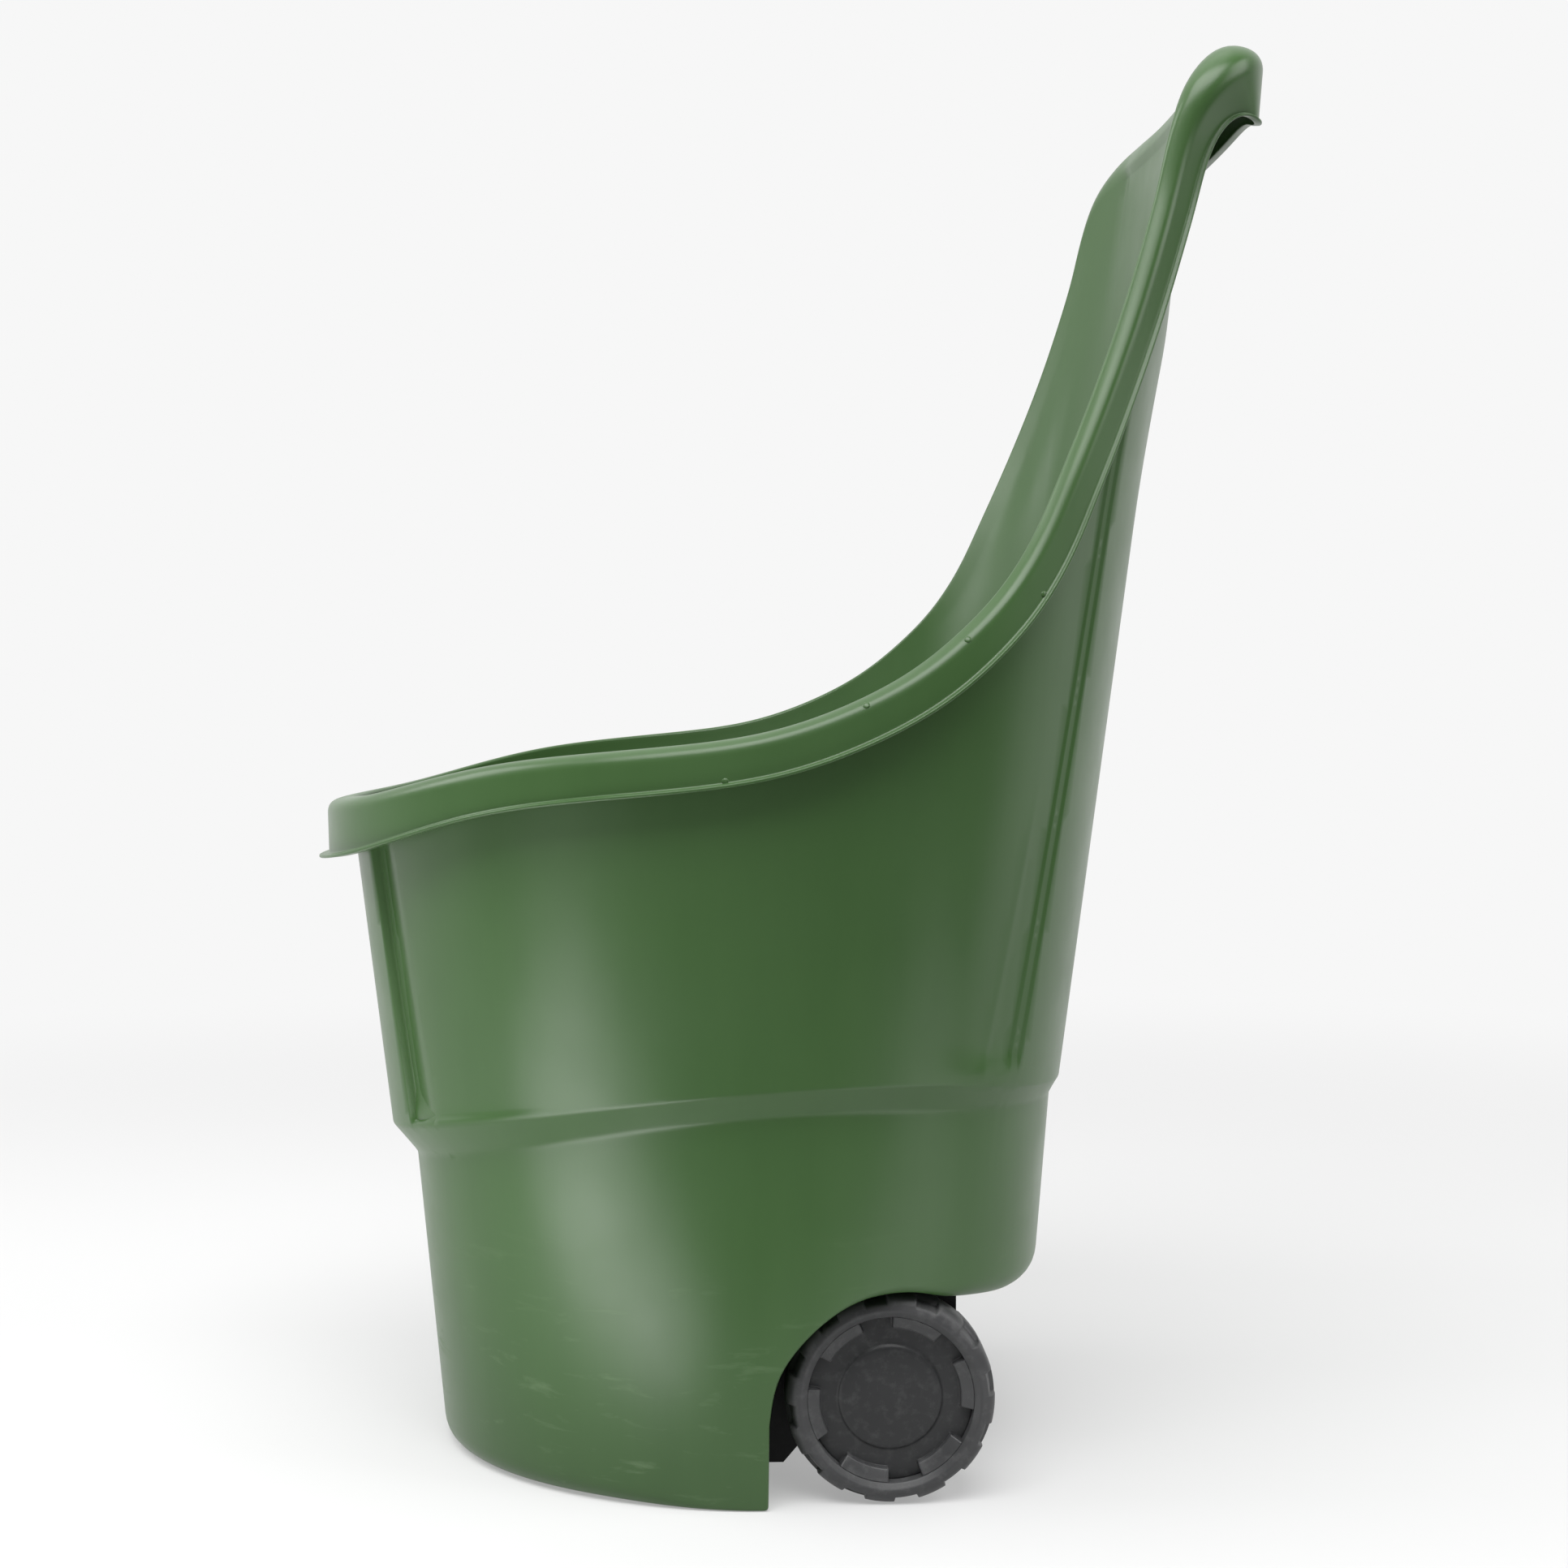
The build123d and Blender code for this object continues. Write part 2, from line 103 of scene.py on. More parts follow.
# ------------------------------------------------------------------ splines
def cubic(t, p, tq):
    """natural cubic spline through p at t, read at tq"""
    t = np.asarray(t, float); p = np.asarray(p, float)
    n = len(t)
    h = np.diff(t)
    A = np.zeros((n, n)); B = np.zeros((n, p.shape[1]))
    A[0, 0] = A[-1, -1] = 1
    for i in range(1, n - 1):
        A[i, i - 1], A[i, i], A[i, i + 1] = h[i - 1], 2 * (h[i - 1] + h[i]), h[i]
        B[i] = 6 * ((p[i + 1] - p[i]) / h[i] - (p[i] - p[i - 1]) / h[i - 1])
    M = np.linalg.solve(A, B)
    i = np.clip(np.searchsorted(t, tq, side="right") - 1, 0, n - 2)
    hi = h[i][:, None]
    a = ((t[i + 1] - tq)[:, None]) / hi
    b = ((tq - t[i])[:, None]) / hi
    return (a * p[i] + b * p[i + 1]
            + ((a ** 3 - a) * M[i] + (b ** 3 - b) * M[i + 1]) * hi ** 2 / 6)


def arclen(p):
    return np.concatenate([[0], np.cumsum(np.linalg.norm(np.diff(p, axis=0), axis=1))])


def resample(p, s_new, s=None):
    s = arclen(p) if s is None else s
    return np.stack([np.interp(s_new, s, p[:, k]) for k in range(p.shape[1])], 1)


def unit(v):
    return v / np.maximum(np.linalg.norm(v, axis=-1, keepdims=True), 1e-12)


def gauss(p, sigma, mirror_first=None, mirror_last=None):
    """smooth a polyline; the ends continue mirrored in y"""
    k = int(3 * sigma) + 1
    w = np.exp(-0.5 * (np.arange(-k, k + 1) / sigma) ** 2); w /= w.sum()
    a = p[1:k + 1][::-1].copy(); b = p[-k - 1:-1][::-1].copy()
    a[:, 1] *= -1; b[:, 1] *= -1
    q = np.concatenate([a, p, b])
    return np.stack([np.convolve(q[:, j], w, "valid") for j in range(p.shape[1])], 1)


# ------------------------------------------------------------------ rim path
RIM_TOP = np.array([(-268.0, 398.0), (-245.0, 402.0), (-217.0, 409.5), (-181.0, 419.0),
                    (-157.0, 423.7), (-123.0, 428.0), (-92.0, 431.0), (-48.0, 435.4),
                    (-22.0, 439.4), (1.0, 445.3), (33.0, 457.6), (68.0, 477.0),
                    (92.6, 497.2), (112.0, 517.0), (126.0, 536.5), (137.0, 556.5),
                    (145.4, 575.6), (153.8, 594.5), (165.4, 621.5), (174.6, 644.3),
                    (183.6, 668.0), (192.2, 693.0), (199.4, 716.0), (204.0, 731.5),
                    (208.6, 748.0)])
HANDLE_Z, CORNER_Y, CORNER_R = 837.0, 113.0, 43.0
_t = arclen(RIM_TOP)
_rim = cubic(_t, RIM_TOP, np.linspace(0, _t[-1], 1500))


def rim_z(x):
    return np.interp(x, _rim[:, 0], _rim[:, 1])


def half_w(x, z):
    af, ar, w, n = up_sec(z)
    f = w * np.sqrt(np.maximum(0, 1 - np.clip((XM - x) / af, 0, 1) ** 2))
    b = w * np.maximum(0, 1 - np.clip((x - XM) / ar, 0, 1) ** n) ** (1 / n)
    return np.where(x <= XM, f, b)


def back_x(y, z):
    af, ar, w, n = up_sec(z)
    return flatten(XM + ar * np.maximum(0, 1 - (np.abs(y) / w) ** n) ** (1 / n), z)


def flatten(x, z):
    """the top of the back is nearly straight across, so that the handle is too"""
    af, ar, w, n = up_sec(z)
    xc = XM + ar * np.maximum(0, 1 - (122.0 / w) ** n) ** (1 / n)
    s = np.maximum(x - xc, 0)
    return x - 0.66 * smooth((z - 660.0) / 140.0) * s * smooth(s / 5.0)


def rim_path():
    pts = []
    for phi in np.linspace(0, math.pi / 2, 60)[:-1]:
        z = 400.0
        for _ in range(12):
            x, y = sec_point(up_sec(z), phi, 0.0)
            z = float(rim_z(x))
        pts.append((float(x), float(y), z))
    sel = _rim[_rim[:, 0] > XM][::12]
    for x, z in sel:
        if z > 744:
            break
        pts.append((x, -float(half_w(x, z)), z))
    zc = HANDLE_Z - CORNER_R
    y_end = -float(half_w(208.6, 748.0))
    for z in np.arange(748.0, zc - 3, 6.0):
        t = (z - 748.0) / (zc - 748.0)
        y = y_end + (-(CORNER_Y + CORNER_R) - y_end) * float(smooth(t))
        pts.append((float(back_x(y, z)), y, z))
    for k in range(13):
        b = math.radians(7.5 * k)
        y = -(CORNER_Y + CORNER_R * math.cos(b))
        z = zc + CORNER_R * math.sin(b)
        pts.append((float(back_x(y, z)), y, z))
    for y in np.linspace(-CORNER_Y, 0, 16)[1:]:
        pts.append((float(back_x(y, HANDLE_Z)), float(y), HANDLE_Z))
    p = np.array(pts)
    s = arclen(p)
    p = resample(p, np.linspace(0, s[-1], 900), s)
    p[:, 1] = np.minimum(p[:, 1], 0)
    p = gauss(p, 9)
    p[0, 1] = 0; p[-1, 1] = 0
    s = arclen(p)
    return resample(p, np.linspace(0, s[-1], N_RIM), s)


N_RIM = 300
RIM = rim_path()


def rim_phi(p):
    phi = sec_phi(up_sec(p[:, 2]), p[:, 0], p[:, 1], 0.0)
    af, ar, w, n = up_sec(p[:, 2])
    back = math.pi - np.arcsin(np.clip((np.abs(p[:, 1]) / w) ** (n / 2), 0, 1))
    k = smooth((p[:, 2] - 640.0) / 60.0) * (p[:, 0] > 60)
    return phi * (1 - k) + back * k


def wall_normal(p):
    phi = np.clip(rim_phi(p), 1e-3, math.pi - 1e-3)
    z = p[:, 2]
    e = 2e-3
    a = wall_point(np.clip(phi + e, 0, math.pi), z, 0.0, True) - wall_point(np.clip(phi - e, 0, math.pi), z, 0.0, True)
    b = wall_point(phi, z + 1.0, 0.0, True) - wall_point(phi, z - 1.0, 0.0, True)
    g = unit(np.cross(a, b))
    g *= np.sign(g[:, 0] * -np.cos(phi) + g[:, 1] * -np.sin(phi))[:, None]
    g[0, 1] = g[-1, 1] = 0
    return unit(gauss(unit(g), 4))


def rim_frames():
    p = RIM
    q = np.concatenate([p[1:2] * [1, -1, 1], p, p[-2:-1] * [1, -1, 1]])
    T = unit(q[2:] - q[:-2])
    N = wall_normal(p)
    D = unit(np.cross(N, T))
    flip = D[:, 2] > 0
    if flip[len(flip) // 4]:
        D = -D
    D = unit(gauss(D, 4))
    x, z = p[:, 0], p[:, 2]
    h = smooth((z - 774.0) / 62.0)
    k = smooth((-p[:, 1] - 40.0) / 70.0)
    dep = np.interp(x, [-268, -245, -217, -181, -123, 0, 87, 139, 172, 189, 203, 215],
                    [34.5, 32.5, 29, 26, 23.7, 22.5, 20.5, 18.5, 18, 18.5, 20, 24])
    dep = dep + 8.0 * h + 11.0 * h * h * smooth((-p[:, 1] - 82.0) / 28.0)
    o = (13.0 + 4.3 * smooth((-190.0 - x) / 60.0) - 1.5 * smooth((x - 60.0) / 80.0)
         + h * (22.5 + 3.0 * k))
    lip = 2.6 + 3.2 * smooth((-190.0 - x) / 70.0) - 1.2 * h
    par = np.stack([h, dep, o, lip], 1)
    par = gauss(np.concatenate([par[:, :1], np.zeros((len(par), 1)), par[:, 1:]], 1), 5)
    par = np.delete(par, 1, axis=1)
    return p, T, N, D, par


def bez(p0, p1, p2, p3, n):
    t = np.linspace(0, 1, n)[:, None]
    p0, p1, p2, p3 = map(np.asarray, (p0, p1, p2, p3))
    return (1 - t) ** 3 * p0 + 3 * (1 - t) ** 2 * t * p1 + 3 * (1 - t) * t * t * p2 + t ** 3 * p3


def rim_profile(h, d, o, lip):
    """closed-up section (across, down) from the outer wall under the flange, over the top, to the inner wall"""
    mix = lambda a, b: a + (b - a) * h
    th = 2.8
    R = mix(2.1, 29.0)              # inner rounding
    n1 = mix(-0.3, 19.5)            # where the section is level
    n2 = mix(o - 2.3, o - 0.8)
    t2 = mix(min(8.0, 0.3 * d), 13.0)
    t0 = mix(15.0, 38.0)            # where the moulding meets the wall
    ru = mix(6.5, 30.0)
    nu = mix(3.6, 23.0)
    e = unit(np.array([o - n2, d - 3.0 - t2]))
    perp = np.array([e[1], -e[0]])      # outwards
    seg = []
    # under side: wall, fillet, inside of the shoulder, inside face of the flange
    seg.append(np.linspace([0, t0], [0, ru], 5)[:-1])
    seg.append(bez([0, ru], [0, ru - 0.56 * (ru - th)], [nu * 0.44, th], [nu, th], 9)[:-1])
    a = np.array([n2, t2]) - perp * th
    m = a[0] - nu
    seg.append(bez([nu, th], [nu + 0.5 * m, th], a - e * 0.45 * math.hypot(m, a[1] - th), a, 9)[:-1])
    b = np.array([o, d - 3.0]) - perp * th
    c = b + e * 2.2
    seg.append(np.linspace(a, c, 7)[:-1])
    # lip: under edge, tip, top fillet
    lipo = np.array([o + lip, d + 0.5])
    seg.append(bez(c, c + e * 0.9, [c[0] + 0.3, d + 0.6], [c[0] + 1.6, d + 0.8], 5)[:-1])
    seg.append(np.linspace([c[0] + 1.6, d + 0.8], lipo, 4)[:-1])
    seg.append(bez(lipo, lipo + [0.7, -0.05], lipo + [0.7, -1.75], lipo + [0.0, -1.8], 6)[:-1])
    top = np.array([o, d - 3.0]) + e * 0.4
    seg.append(bez(lipo + [0.0, -1.8], lipo * [1, 0] * 0.35 + np.array([top[0], 0]) * 0.65 + [0, d - 1.4],
                   top + e * 0.9, top, 8)[:-1])
    # outer face, shoulder, top, inner edge
    seg.append(np.linspace(top, [n2, t2], 8)[:-1])
    m = n2 - n1
    s2 = np.array([n2, t2])
    seg.append(bez(s2, s2 - e * 0.45 * math.hypot(m, t2), [n1 + 0.52 * m, 0], [n1, 0], 16)[:-1])
    k = 0.5523
    seg.append(bez([n1, 0], [n1 - (n1 + WALL) * k, 0], [-WALL, R * (1 - k)], [-WALL, R], 12)[:-1])
    seg.append(np.linspace([-WALL, R], [-WALL, t0], 6))
    return np.concatenate(seg)


# ------------------------------------------------------------------ wall surface
_ph = np.linspace(0, math.pi, 4001)
_x, _y = sec_point(up_sec(300.0), _ph, 0.0)
_U = arclen(np.stack([_x, _y], 1))
U_MAX = _U[-1]


def phi_to_u(phi):
    return np.interp(phi, _ph, _U)


def u_to_phi(u):
    return np.interp(u, _U, _ph)


_rim_phi = sec_phi(up_sec(RIM[:, 2]), RIM[:, 0], RIM[:, 1], 0.0)
_rim_uz = np.stack([phi_to_u(_rim_phi), RIM[:, 2]], 1)


def rim_distance(u, z):
    """how far a wall point is from the rim line, measured on the wall"""
    q = np.stack([u.ravel(), z.ravel()], 1)
    out = np.empty(len(q))
    for i in range(0, len(q), 4000):
        d = q[i:i + 4000, None, :] - _rim_uz[None, ::2, :]
        out[i:i + 4000] = np.sqrt((d ** 2).sum(2)).min(1)
    return out.reshape(u.shape)


def relief(phi, z, x, y, soft=False):
    """raised front and back panels, and the small moulding marks of the outer wall"""
    ay = np.abs(y)
    u = phi_to_u(phi)
    dist = rim_distance(u, z)
    top = smooth((dist - 13.0) / 18.0)
    zl, zu = step_z(phi)
    low = smooth((z - zu - 1.0) / 5.0)
    front = smooth((-120.0 - x) / 60.0)
    if soft:
        rear = smooth((x - 60.0) / 60.0)
        low = smooth((z - zu - 4.0) / 16.0)
        return (-(4.6 * smooth((ay - 74.0) / 16.0) * smooth((190.0 - ay) / 90.0) * front)
                - 2.6 * smooth((ay - 132.0) / 20.0) * smooth((200.0 - ay) / 44.0) * rear) * low * top
    c = np.clip(-(x - XM) / 230.0, 0, 1)
    side_f = smooth((ay - 80.5) / 3.5)                      # flank of the front panel
    groove = smooth((ay - 80.5) / 3.5) * smooth((108.0 - ay) / 22.0)
    d = -(3.2 * side_f * smooth((ay - 80) / 4.0) * smooth((190 - ay) / 95.0) + 3.4 * groove) * front
    rear = smooth((x - 60.0) / 60.0)
    s1 = smooth((ay - 140.0) / 2.4)
    s2 = smooth((ay - 146.5) / 2.4)
    d_r = -(1.7 * s1 + 1.5 * s2) * smooth((200.0 - ay) / 46.0) * rear
    line = 0.35 * np.exp(-((ay - 163.0) / 1.6) ** 2) * rear * smooth((420 - z) / 60)
    return (d * low * top) + (d_r * smooth((z - zu - 6.0) / 14.0) * top) + line * top * low


def wall_point(phi, z, off=0.0, plain=False):
    phi = np.asarray(phi, float); z = np.asarray(z, float)
    xl, yl = sec_point(low_sec(z), phi, off)
    xu, yu = sec_point(up_sec(z), phi, off)
    zl, zu = step_z(phi)
    lift = -off * 0.55                       # the inside of the ledge sits a little higher
    t = step_blend((z - zl - lift) / (zu - zl))
    x = flatten(xl + (xu - xl) * t, z)
    y = yl + (yu - yl) * t
    if plain:
        return np.stack([x, y, z], -1)
    r = relief(phi, z, x, y, off < 0)
    n = np.stack([np.where(x < XM, -np.cos(phi), -np.cos(phi)), -np.abs(np.sin(phi))], -1)
    ln = np.sqrt((n ** 2).sum(-1))
    x = x + n[..., 0] / ln * r
    y = y + n[..., 1] / ln * r
    y = np.where(np.sin(phi) < 1e-9, 0.0, y)
    return np.stack([x, y, z], -1)


def wall_frame(phi, z, off=0.0):
    """unit normal of the wall by small differences"""
    e = 2e-3
    a = wall_point(np.clip(phi + e, 0, math.pi), z, off) - wall_point(np.clip(phi - e, 0, math.pi), z, off)
    b = wall_point(phi, z + 0.4, off) - wall_point(phi, z - 0.4, off)
    n = unit(np.cross(a, b))
    s = np.sign((n[..., 0] * -np.cos(phi)) + (n[..., 1] * -np.sin(phi)))
    return n * s[..., None]


def project(p, off=0.0):
    """nearest wall point at the same height"""
    phi = rim_phi(p)
    return wall_point(phi, p[:, 2], off), phi


COL_P, COL_T, COL_N, COL_D, COL_PAR = rim_frames()
PROF = np.array([rim_profile(*r) for r in COL_PAR])          # stations x points x 2
K_PROF = PROF.shape[1]


# ------------------------------------------------------------------ bottom profile
def fillet_poly(pts, radii, seg=10):
    out = [np.array(pts[0], float)]
    for i in range(1, len(pts) - 1):
        p, a, b = (np.array(pts[k], float) for k in (i, i - 1, i + 1))
        r = radii[i]
        if r <= 0:
            out.append(p); continue
        da, db = unit(a - p), unit(b - p)
        ang = math.acos(float(np.clip(da @ db, -1, 1)))
        L = r / math.tan(ang / 2)
        pa, pb = p + da * L, p + db * L
        for t in np.linspace(0, 1, seg):
            out.append((1 - t) ** 2 * pa + 2 * (1 - t) * t * (p + (pa + pb) / 2 * 0) + t ** 2 * pb)
    out.append(np.array(pts[-1], float))
    return np.array(out)


ARCH = np.array([(-12.5, 50.0), (-7.0, 77.0), (4.0, 94.5), (20.0, 110.0), (38.0, 120.0),
                 (57.0, 123.0), (74.0, 121.2), (86.0, 117.4), (98.0, 114.2), (112.0, 111.0), (130.0, 108.4),
                 (150.0, 108.0)])
_ta = arclen(ARCH)
_arch = cubic(_ta, ARCH, np.linspace(0, _ta[-1], 90))


def bottom_profile(off):
    """side-view line of the underside (off 0) or of the floor inside (off 3)"""
    a = _arch.copy()
    t = unit(np.gradient(a, axis=0))
    nrm = np.stack([-t[:, 1], t[:, 0]], 1)
    a = a + nrm * off
    a[-1] = [a[-1][0], 108.0 + off]
    xr = -13.0 - off
    z0 = off
    corner = 2.4 if off == 0 else 5.0
    base = fillet_poly([(-260.0, z0), (xr, z0), (xr + (0.5 if off == 0 else 0.5), 50.0)],
                       [0, corner, 0], 12)
    p = np.concatenate([base[:-1], a, [[260.0, 108.0 + off]]])
    # dense and even
    s = arclen(p)
    return resample(p, np.arange(0, s[-1], 0.5), s)


def build_cup(off, verts, faces):
    """outer (off 0) or inner (off 3) skin of the near half; its top line reuses the rim's vertices."""
    woff = -off
    A = bottom_profile(off)
    sA = arclen(A)
    # edge where the wall meets the bottom
    ph = np.linspace(0, math.pi, 3000)
    pts = []
    # base part
    z0 = off
    xs, ys = sec_point(low_sec(z0), ph, woff)
    x_corner = A[np.argmax(A[:, 1] > z0 + 0.02)][0]
    m = xs < x_corner
    pts.append(np.stack([xs[m], ys[m], np.full(m.sum(), z0)], 1))
    i0 = int(np.argmax(A[:, 1] > z0 + 0.02))
    i1 = int(np.argmax(A[:, 0] > 141.0))
    seg = A[i0:i1]
    phs = sec_phi(low_sec(seg[:, 1]), seg[:, 0], 0, woff)
    af, ar, w, n = low_sec(seg[:, 1])
    hw = np.where(seg[:, 0] <= XM,
                  (w + woff) * np.sqrt(np.maximum(0, 1 - (np.maximum(XM - seg[:, 0], 0) / (af + woff)) ** 2)),
                  (w + woff) * np.maximum(0, 1 - (np.maximum(seg[:, 0] - XM, 0) / (ar + woff)) ** n) ** (1 / n))
    pts.append(np.stack([seg[:, 0], -hw, seg[:, 1]], 1))
    zr = float(A[i1][1])
    xs, ys = sec_point(low_sec(zr), ph, woff)
    m = xs > A[i1][0] + 0.3
    pts.append(np.stack([xs[m], ys[m], np.full(m.sum(), zr)], 1))
    E = np.concatenate(pts)
    E[-1, 1] = 0
    s = arclen(E)
    E = resample(E, np.arange(0, s[-1], 0.5), s)
    E[:, 1] = np.minimum(E[:, 1], 0)
    E = gauss(E, 1.5)
    s = arclen(E)
    # spacing: finer round the arch corner
    want = np.where((E[:, 2] > z0 + 0.05) & (E[:, 2] < 60), 1.5, 4.0)
    want = np.where(np.abs(E[:, 0] + 13) < 12, 0.8, want)
    dens = np.concatenate([[0], np.cumsum(np.diff(s) / want[1:])])
    nE = int(dens[-1])
    sE = np.interp(np.linspace(0, dens[-1], nE), dens, s)
    E = resample(E, sE, s)
    E[0, 1] = E[-1, 1] = 0
    q = np.concatenate([E[1:2] * [1, -1, 1], E, E[-2:-1] * [1, -1, 1]])
    T = unit(q[2:] - q[:-2])
    x = E[:, 0]
    front = E[:, 2] < z0 + 6
    if off == 0:
        r_front = 13.0 - 11.2 * smooth((x + 120.0) / 95.0)
        r_rear = 1.8 + 3.5 * smooth((x - 25) / 35.0) + 9.5 * smooth((x - 82.0) / 34.0)
        r = np.where(x < -12.0, np.where(front, r_front, 1.8), r_rear)
    else:
        r = np.where(x < -15, np.where(front, 10.0 - 7.0 * smooth((x + 120.0) / 90.0), 3.0),
                     3.0 + 9.0 * smooth((x - 78.0) / 30.0))
    k = np.ones(9) / 9
    r = np.convolve(np.pad(r, 4, mode="edge"), k, "valid")
    # wall side of the fillet
    phE = sec_phi(low_sec(E[:, 2]), E[:, 0], E[:, 1], woff)
    Nw = wall_frame(phE, E[:, 2] + 0.5, woff)
    Dw = unit(np.cross(Nw, T))
    Dw *= np.sign((Dw * np.array([-0.25, 0, 1.0])).sum(1))[:, None]
    W = E + Dw * r[:, None]
    phW = sec_phi(low_sec(W[:, 2]), W[:, 0], W[:, 1], woff)
    phW[0], phW[-1] = 0, math.pi
    W = wall_point(phW, W[:, 2], woff)
    # bottom side, in the flattened sheet (length along the profile, y)
    lE = np.empty(len(E))
    for i, e in enumerate(E):
        d2 = (A[:, 0] - e[0]) ** 2 + (A[:, 1] - e[2]) ** 2
        lE[i] = sA[int(np.argmin(d2))]
    lE = np.maximum.accumulate(lE)
    lE = np.convolve(np.pad(lE, 3, mode="reflect", reflect_type="odd"), np.ones(7) / 7, "valid")
    F2 = np.stack([lE, E[:, 1]], 1)
    q2 = np.concatenate([F2[1:2] * [1, -1], F2, F2[-2:-1] * [1, -1]])
    T2 = unit(q2[2:] - q2[:-2])
    P2 = np.stack([-T2[:, 1], T2[:, 0]], 1)
    P2 *= np.sign(P2[:, 1] * 1.0 + 1e-9)[:, None] * 1.0
    mid = np.array([sA[np.argmax(A[:, 0] > -40)], -20.0])
    sgn = np.sign(((mid - F2) * P2).sum(1)); P2 = P2 * np.where(sgn == 0, 1, sgn)[:, None]
    B2 = F2 + P2 * r[:, None]
    B2[0, 1] = B2[-1, 1] = 0
    B2[:, 1] = np.minimum(B2[:, 1], 0)
    Bx = np.interp(B2[:, 0], sA, A[:, 0]); Bz = np.interp(B2[:, 0], sA, A[:, 1])
    B = np.stack([Bx, B2[:, 1], Bz], 1)
    # ---- fillet strip
    M = 8
    t = np.linspace(0, 1, M + 1)
    rows = []
    for j, tt in enumerate(t):
        row = (1 - tt) ** 2 * W + 2 * (1 - tt) * tt * E + tt ** 2 * B
        rows.append(row)
    base_id = len(verts)
    strip = np.stack(rows, 1)
    strip[0, :, 1] = 0; strip[-1, :, 1] = 0
    verts.extend(strip.reshape(-1, 3).tolist())
    sid = base_id + np.arange(nE * (M + 1)).reshape(nE, M + 1)
    for i in range(nE - 1):
        for j in range(M):
            f = (sid[i, j], sid[i, j + 1], sid[i + 1, j + 1], sid[i + 1, j])
            faces.append(f if off else f[::-1])
    # ---- wall sheet
    j0 = 0 if off == 0 else K_PROF - 1
    top_ids = RIM_IDS[:, j0]
    topP = np.array([verts[i] for i in top_ids])
    sec = up_sec(topP[:, 2])
    top_phi = TOP_PHI
    topUZ = np.stack([phi_to_u(top_phi), topP[:, 2]], 1)
    botUZ = np.stack([phi_to_u(phW), W[:, 2]], 1)
    left = np.arange(botUZ[0, 1] + 6, topUZ[0, 1] - 3, 6.0)
    right = np.arange(botUZ[-1, 1] + 6, topUZ[-1, 1] - 3, 6.0)
    left = refine_step(left, 0.0, off)
    right = refine_step(right, math.pi, off)
    loop = [(*p, ("v", int(sid[i, 0]))) for i, p in enumerate(botUZ)]
    loop += [(U_MAX, z, ("w", math.pi, z)) for z in right]
    loop += [(*topUZ[i], ("v", int(top_ids[i]))) for i in range(len(topUZ) - 1, -1, -1)]
    loop += [(0.0, z, ("w", 0.0, z)) for z in left[::-1]]
    L = np.array([l[:2] for l in loop])
    # inner points
    grid = []
    us = np.arange(3.5, U_MAX - 2, 7.0)
    zs = np.arange(8.0, 836.0, 7.0)
    for u in us:
        phi = u_to_phi(u)
        col = refine_step(zs, float(phi), off)
        grid.append(np.stack([np.full(len(col), u), col], 1))
    # columns that follow the panel edges, where |y| is constant
    zz = np.arange(190.0, 760.0, 3.0)
    phs = np.linspace(0.02, math.pi - 0.02, 1200)
    lines = []
    if off == 0:
        for ay, dys, which in ((82.3, (-1.9, -0.8, 0.4, 1.7), "f"), (108.0, (-9.0, 0.0), "f"),
                               (141.2, (-1.3, -0.4, 0.4, 1.3), "r"), (147.7, (-1.3, -0.4, 0.4, 1.3), "r"),
                               (163.0, (-2.2, -0.8, 0.8, 2.2), "r")):
            for dy in dys:
                q = []
                for z in zz:
                    xx, yy = sec_point(up_sec(z), phs, 0.0)
                    ok = (xx < XM) if which == "f" else (xx > XM)
                    cand = phs[ok]; yv = -yy[ok]
                    if which == "f":
                        p0 = np.interp(ay + dy, yv, cand)
                    else:
                        p0 = np.interp(ay + dy, yv[::-1], cand[::-1])
                    q.append((float(phi_to_u(p0)), z))
                lines.append(np.array(q))
    G = np.concatenate(grid)
    G = inside(G, L, 2.6)
    co, tri = cdt(L, G, lines)
    ids = []
    nL = len(L)
    phi_all = u_to_phi(co[:, 0])
    P = wall_point(phi_all, co[:, 1], woff)
    base_id = len(verts)
    for i, c in enumerate(co):
        if i < nL and loop[i][2][0] == "v":
            ids.append(loop[i][2][1])
        else:
            ids.append(len(verts))
            p = P[i].tolist()
            if i < nL:
                p[1] = 0.0
            verts.append(p)
    for a, b, c in tri:
        f = (ids[a], ids[b], ids[c])
        faces.append(f if off == 0 else f[::-1])
    # ---- bottom sheet
    loopB = [(*p, ("v", int(sid[i, M]))) for i, p in enumerate(B2)]
    mids = np.arange(B2[-1, 0] - 5, B2[0, 0] + 4, -5.0)
    # keep the profile's tight places on the centre line
    loopB += [(l, 0.0, ("c", l)) for l in mids]
    L = np.array([l[:2] for l in loopB])
    ls = list(np.arange(B2[0, 0] + 4, B2[-1, 0] - 3, 7.0))
    lc = sA[np.argmax(A[:, 1] > z0 + 0.02)]
    ls += list(np.arange(lc - 4, lc + 6, 0.8)) + list(np.arange(lc + 40, lc + 190, 3.5))
    G = np.array([(l, y) for l in ls for y in np.arange(-174.0, -3.0, 7.0)])
    G = inside(G, L, 1.6)
    co, tri = cdt(L, G)
    nL = len(L)
    ids = []
    for i, c in enumerate(co):
        if i < nL and loopB[i][2][0] == "v":
            ids.append(loopB[i][2][1])
        else:
            ids.append(len(verts))
            verts.append([float(np.interp(c[0], sA, A[:, 0])), float(c[1]) if i >= nL else 0.0,
                          float(np.interp(c[0], sA, A[:, 1]))])
    for a, b, c in tri:
        f = (ids[a], ids[b], ids[c])
        faces.append(f[::-1] if off == 0 else f)


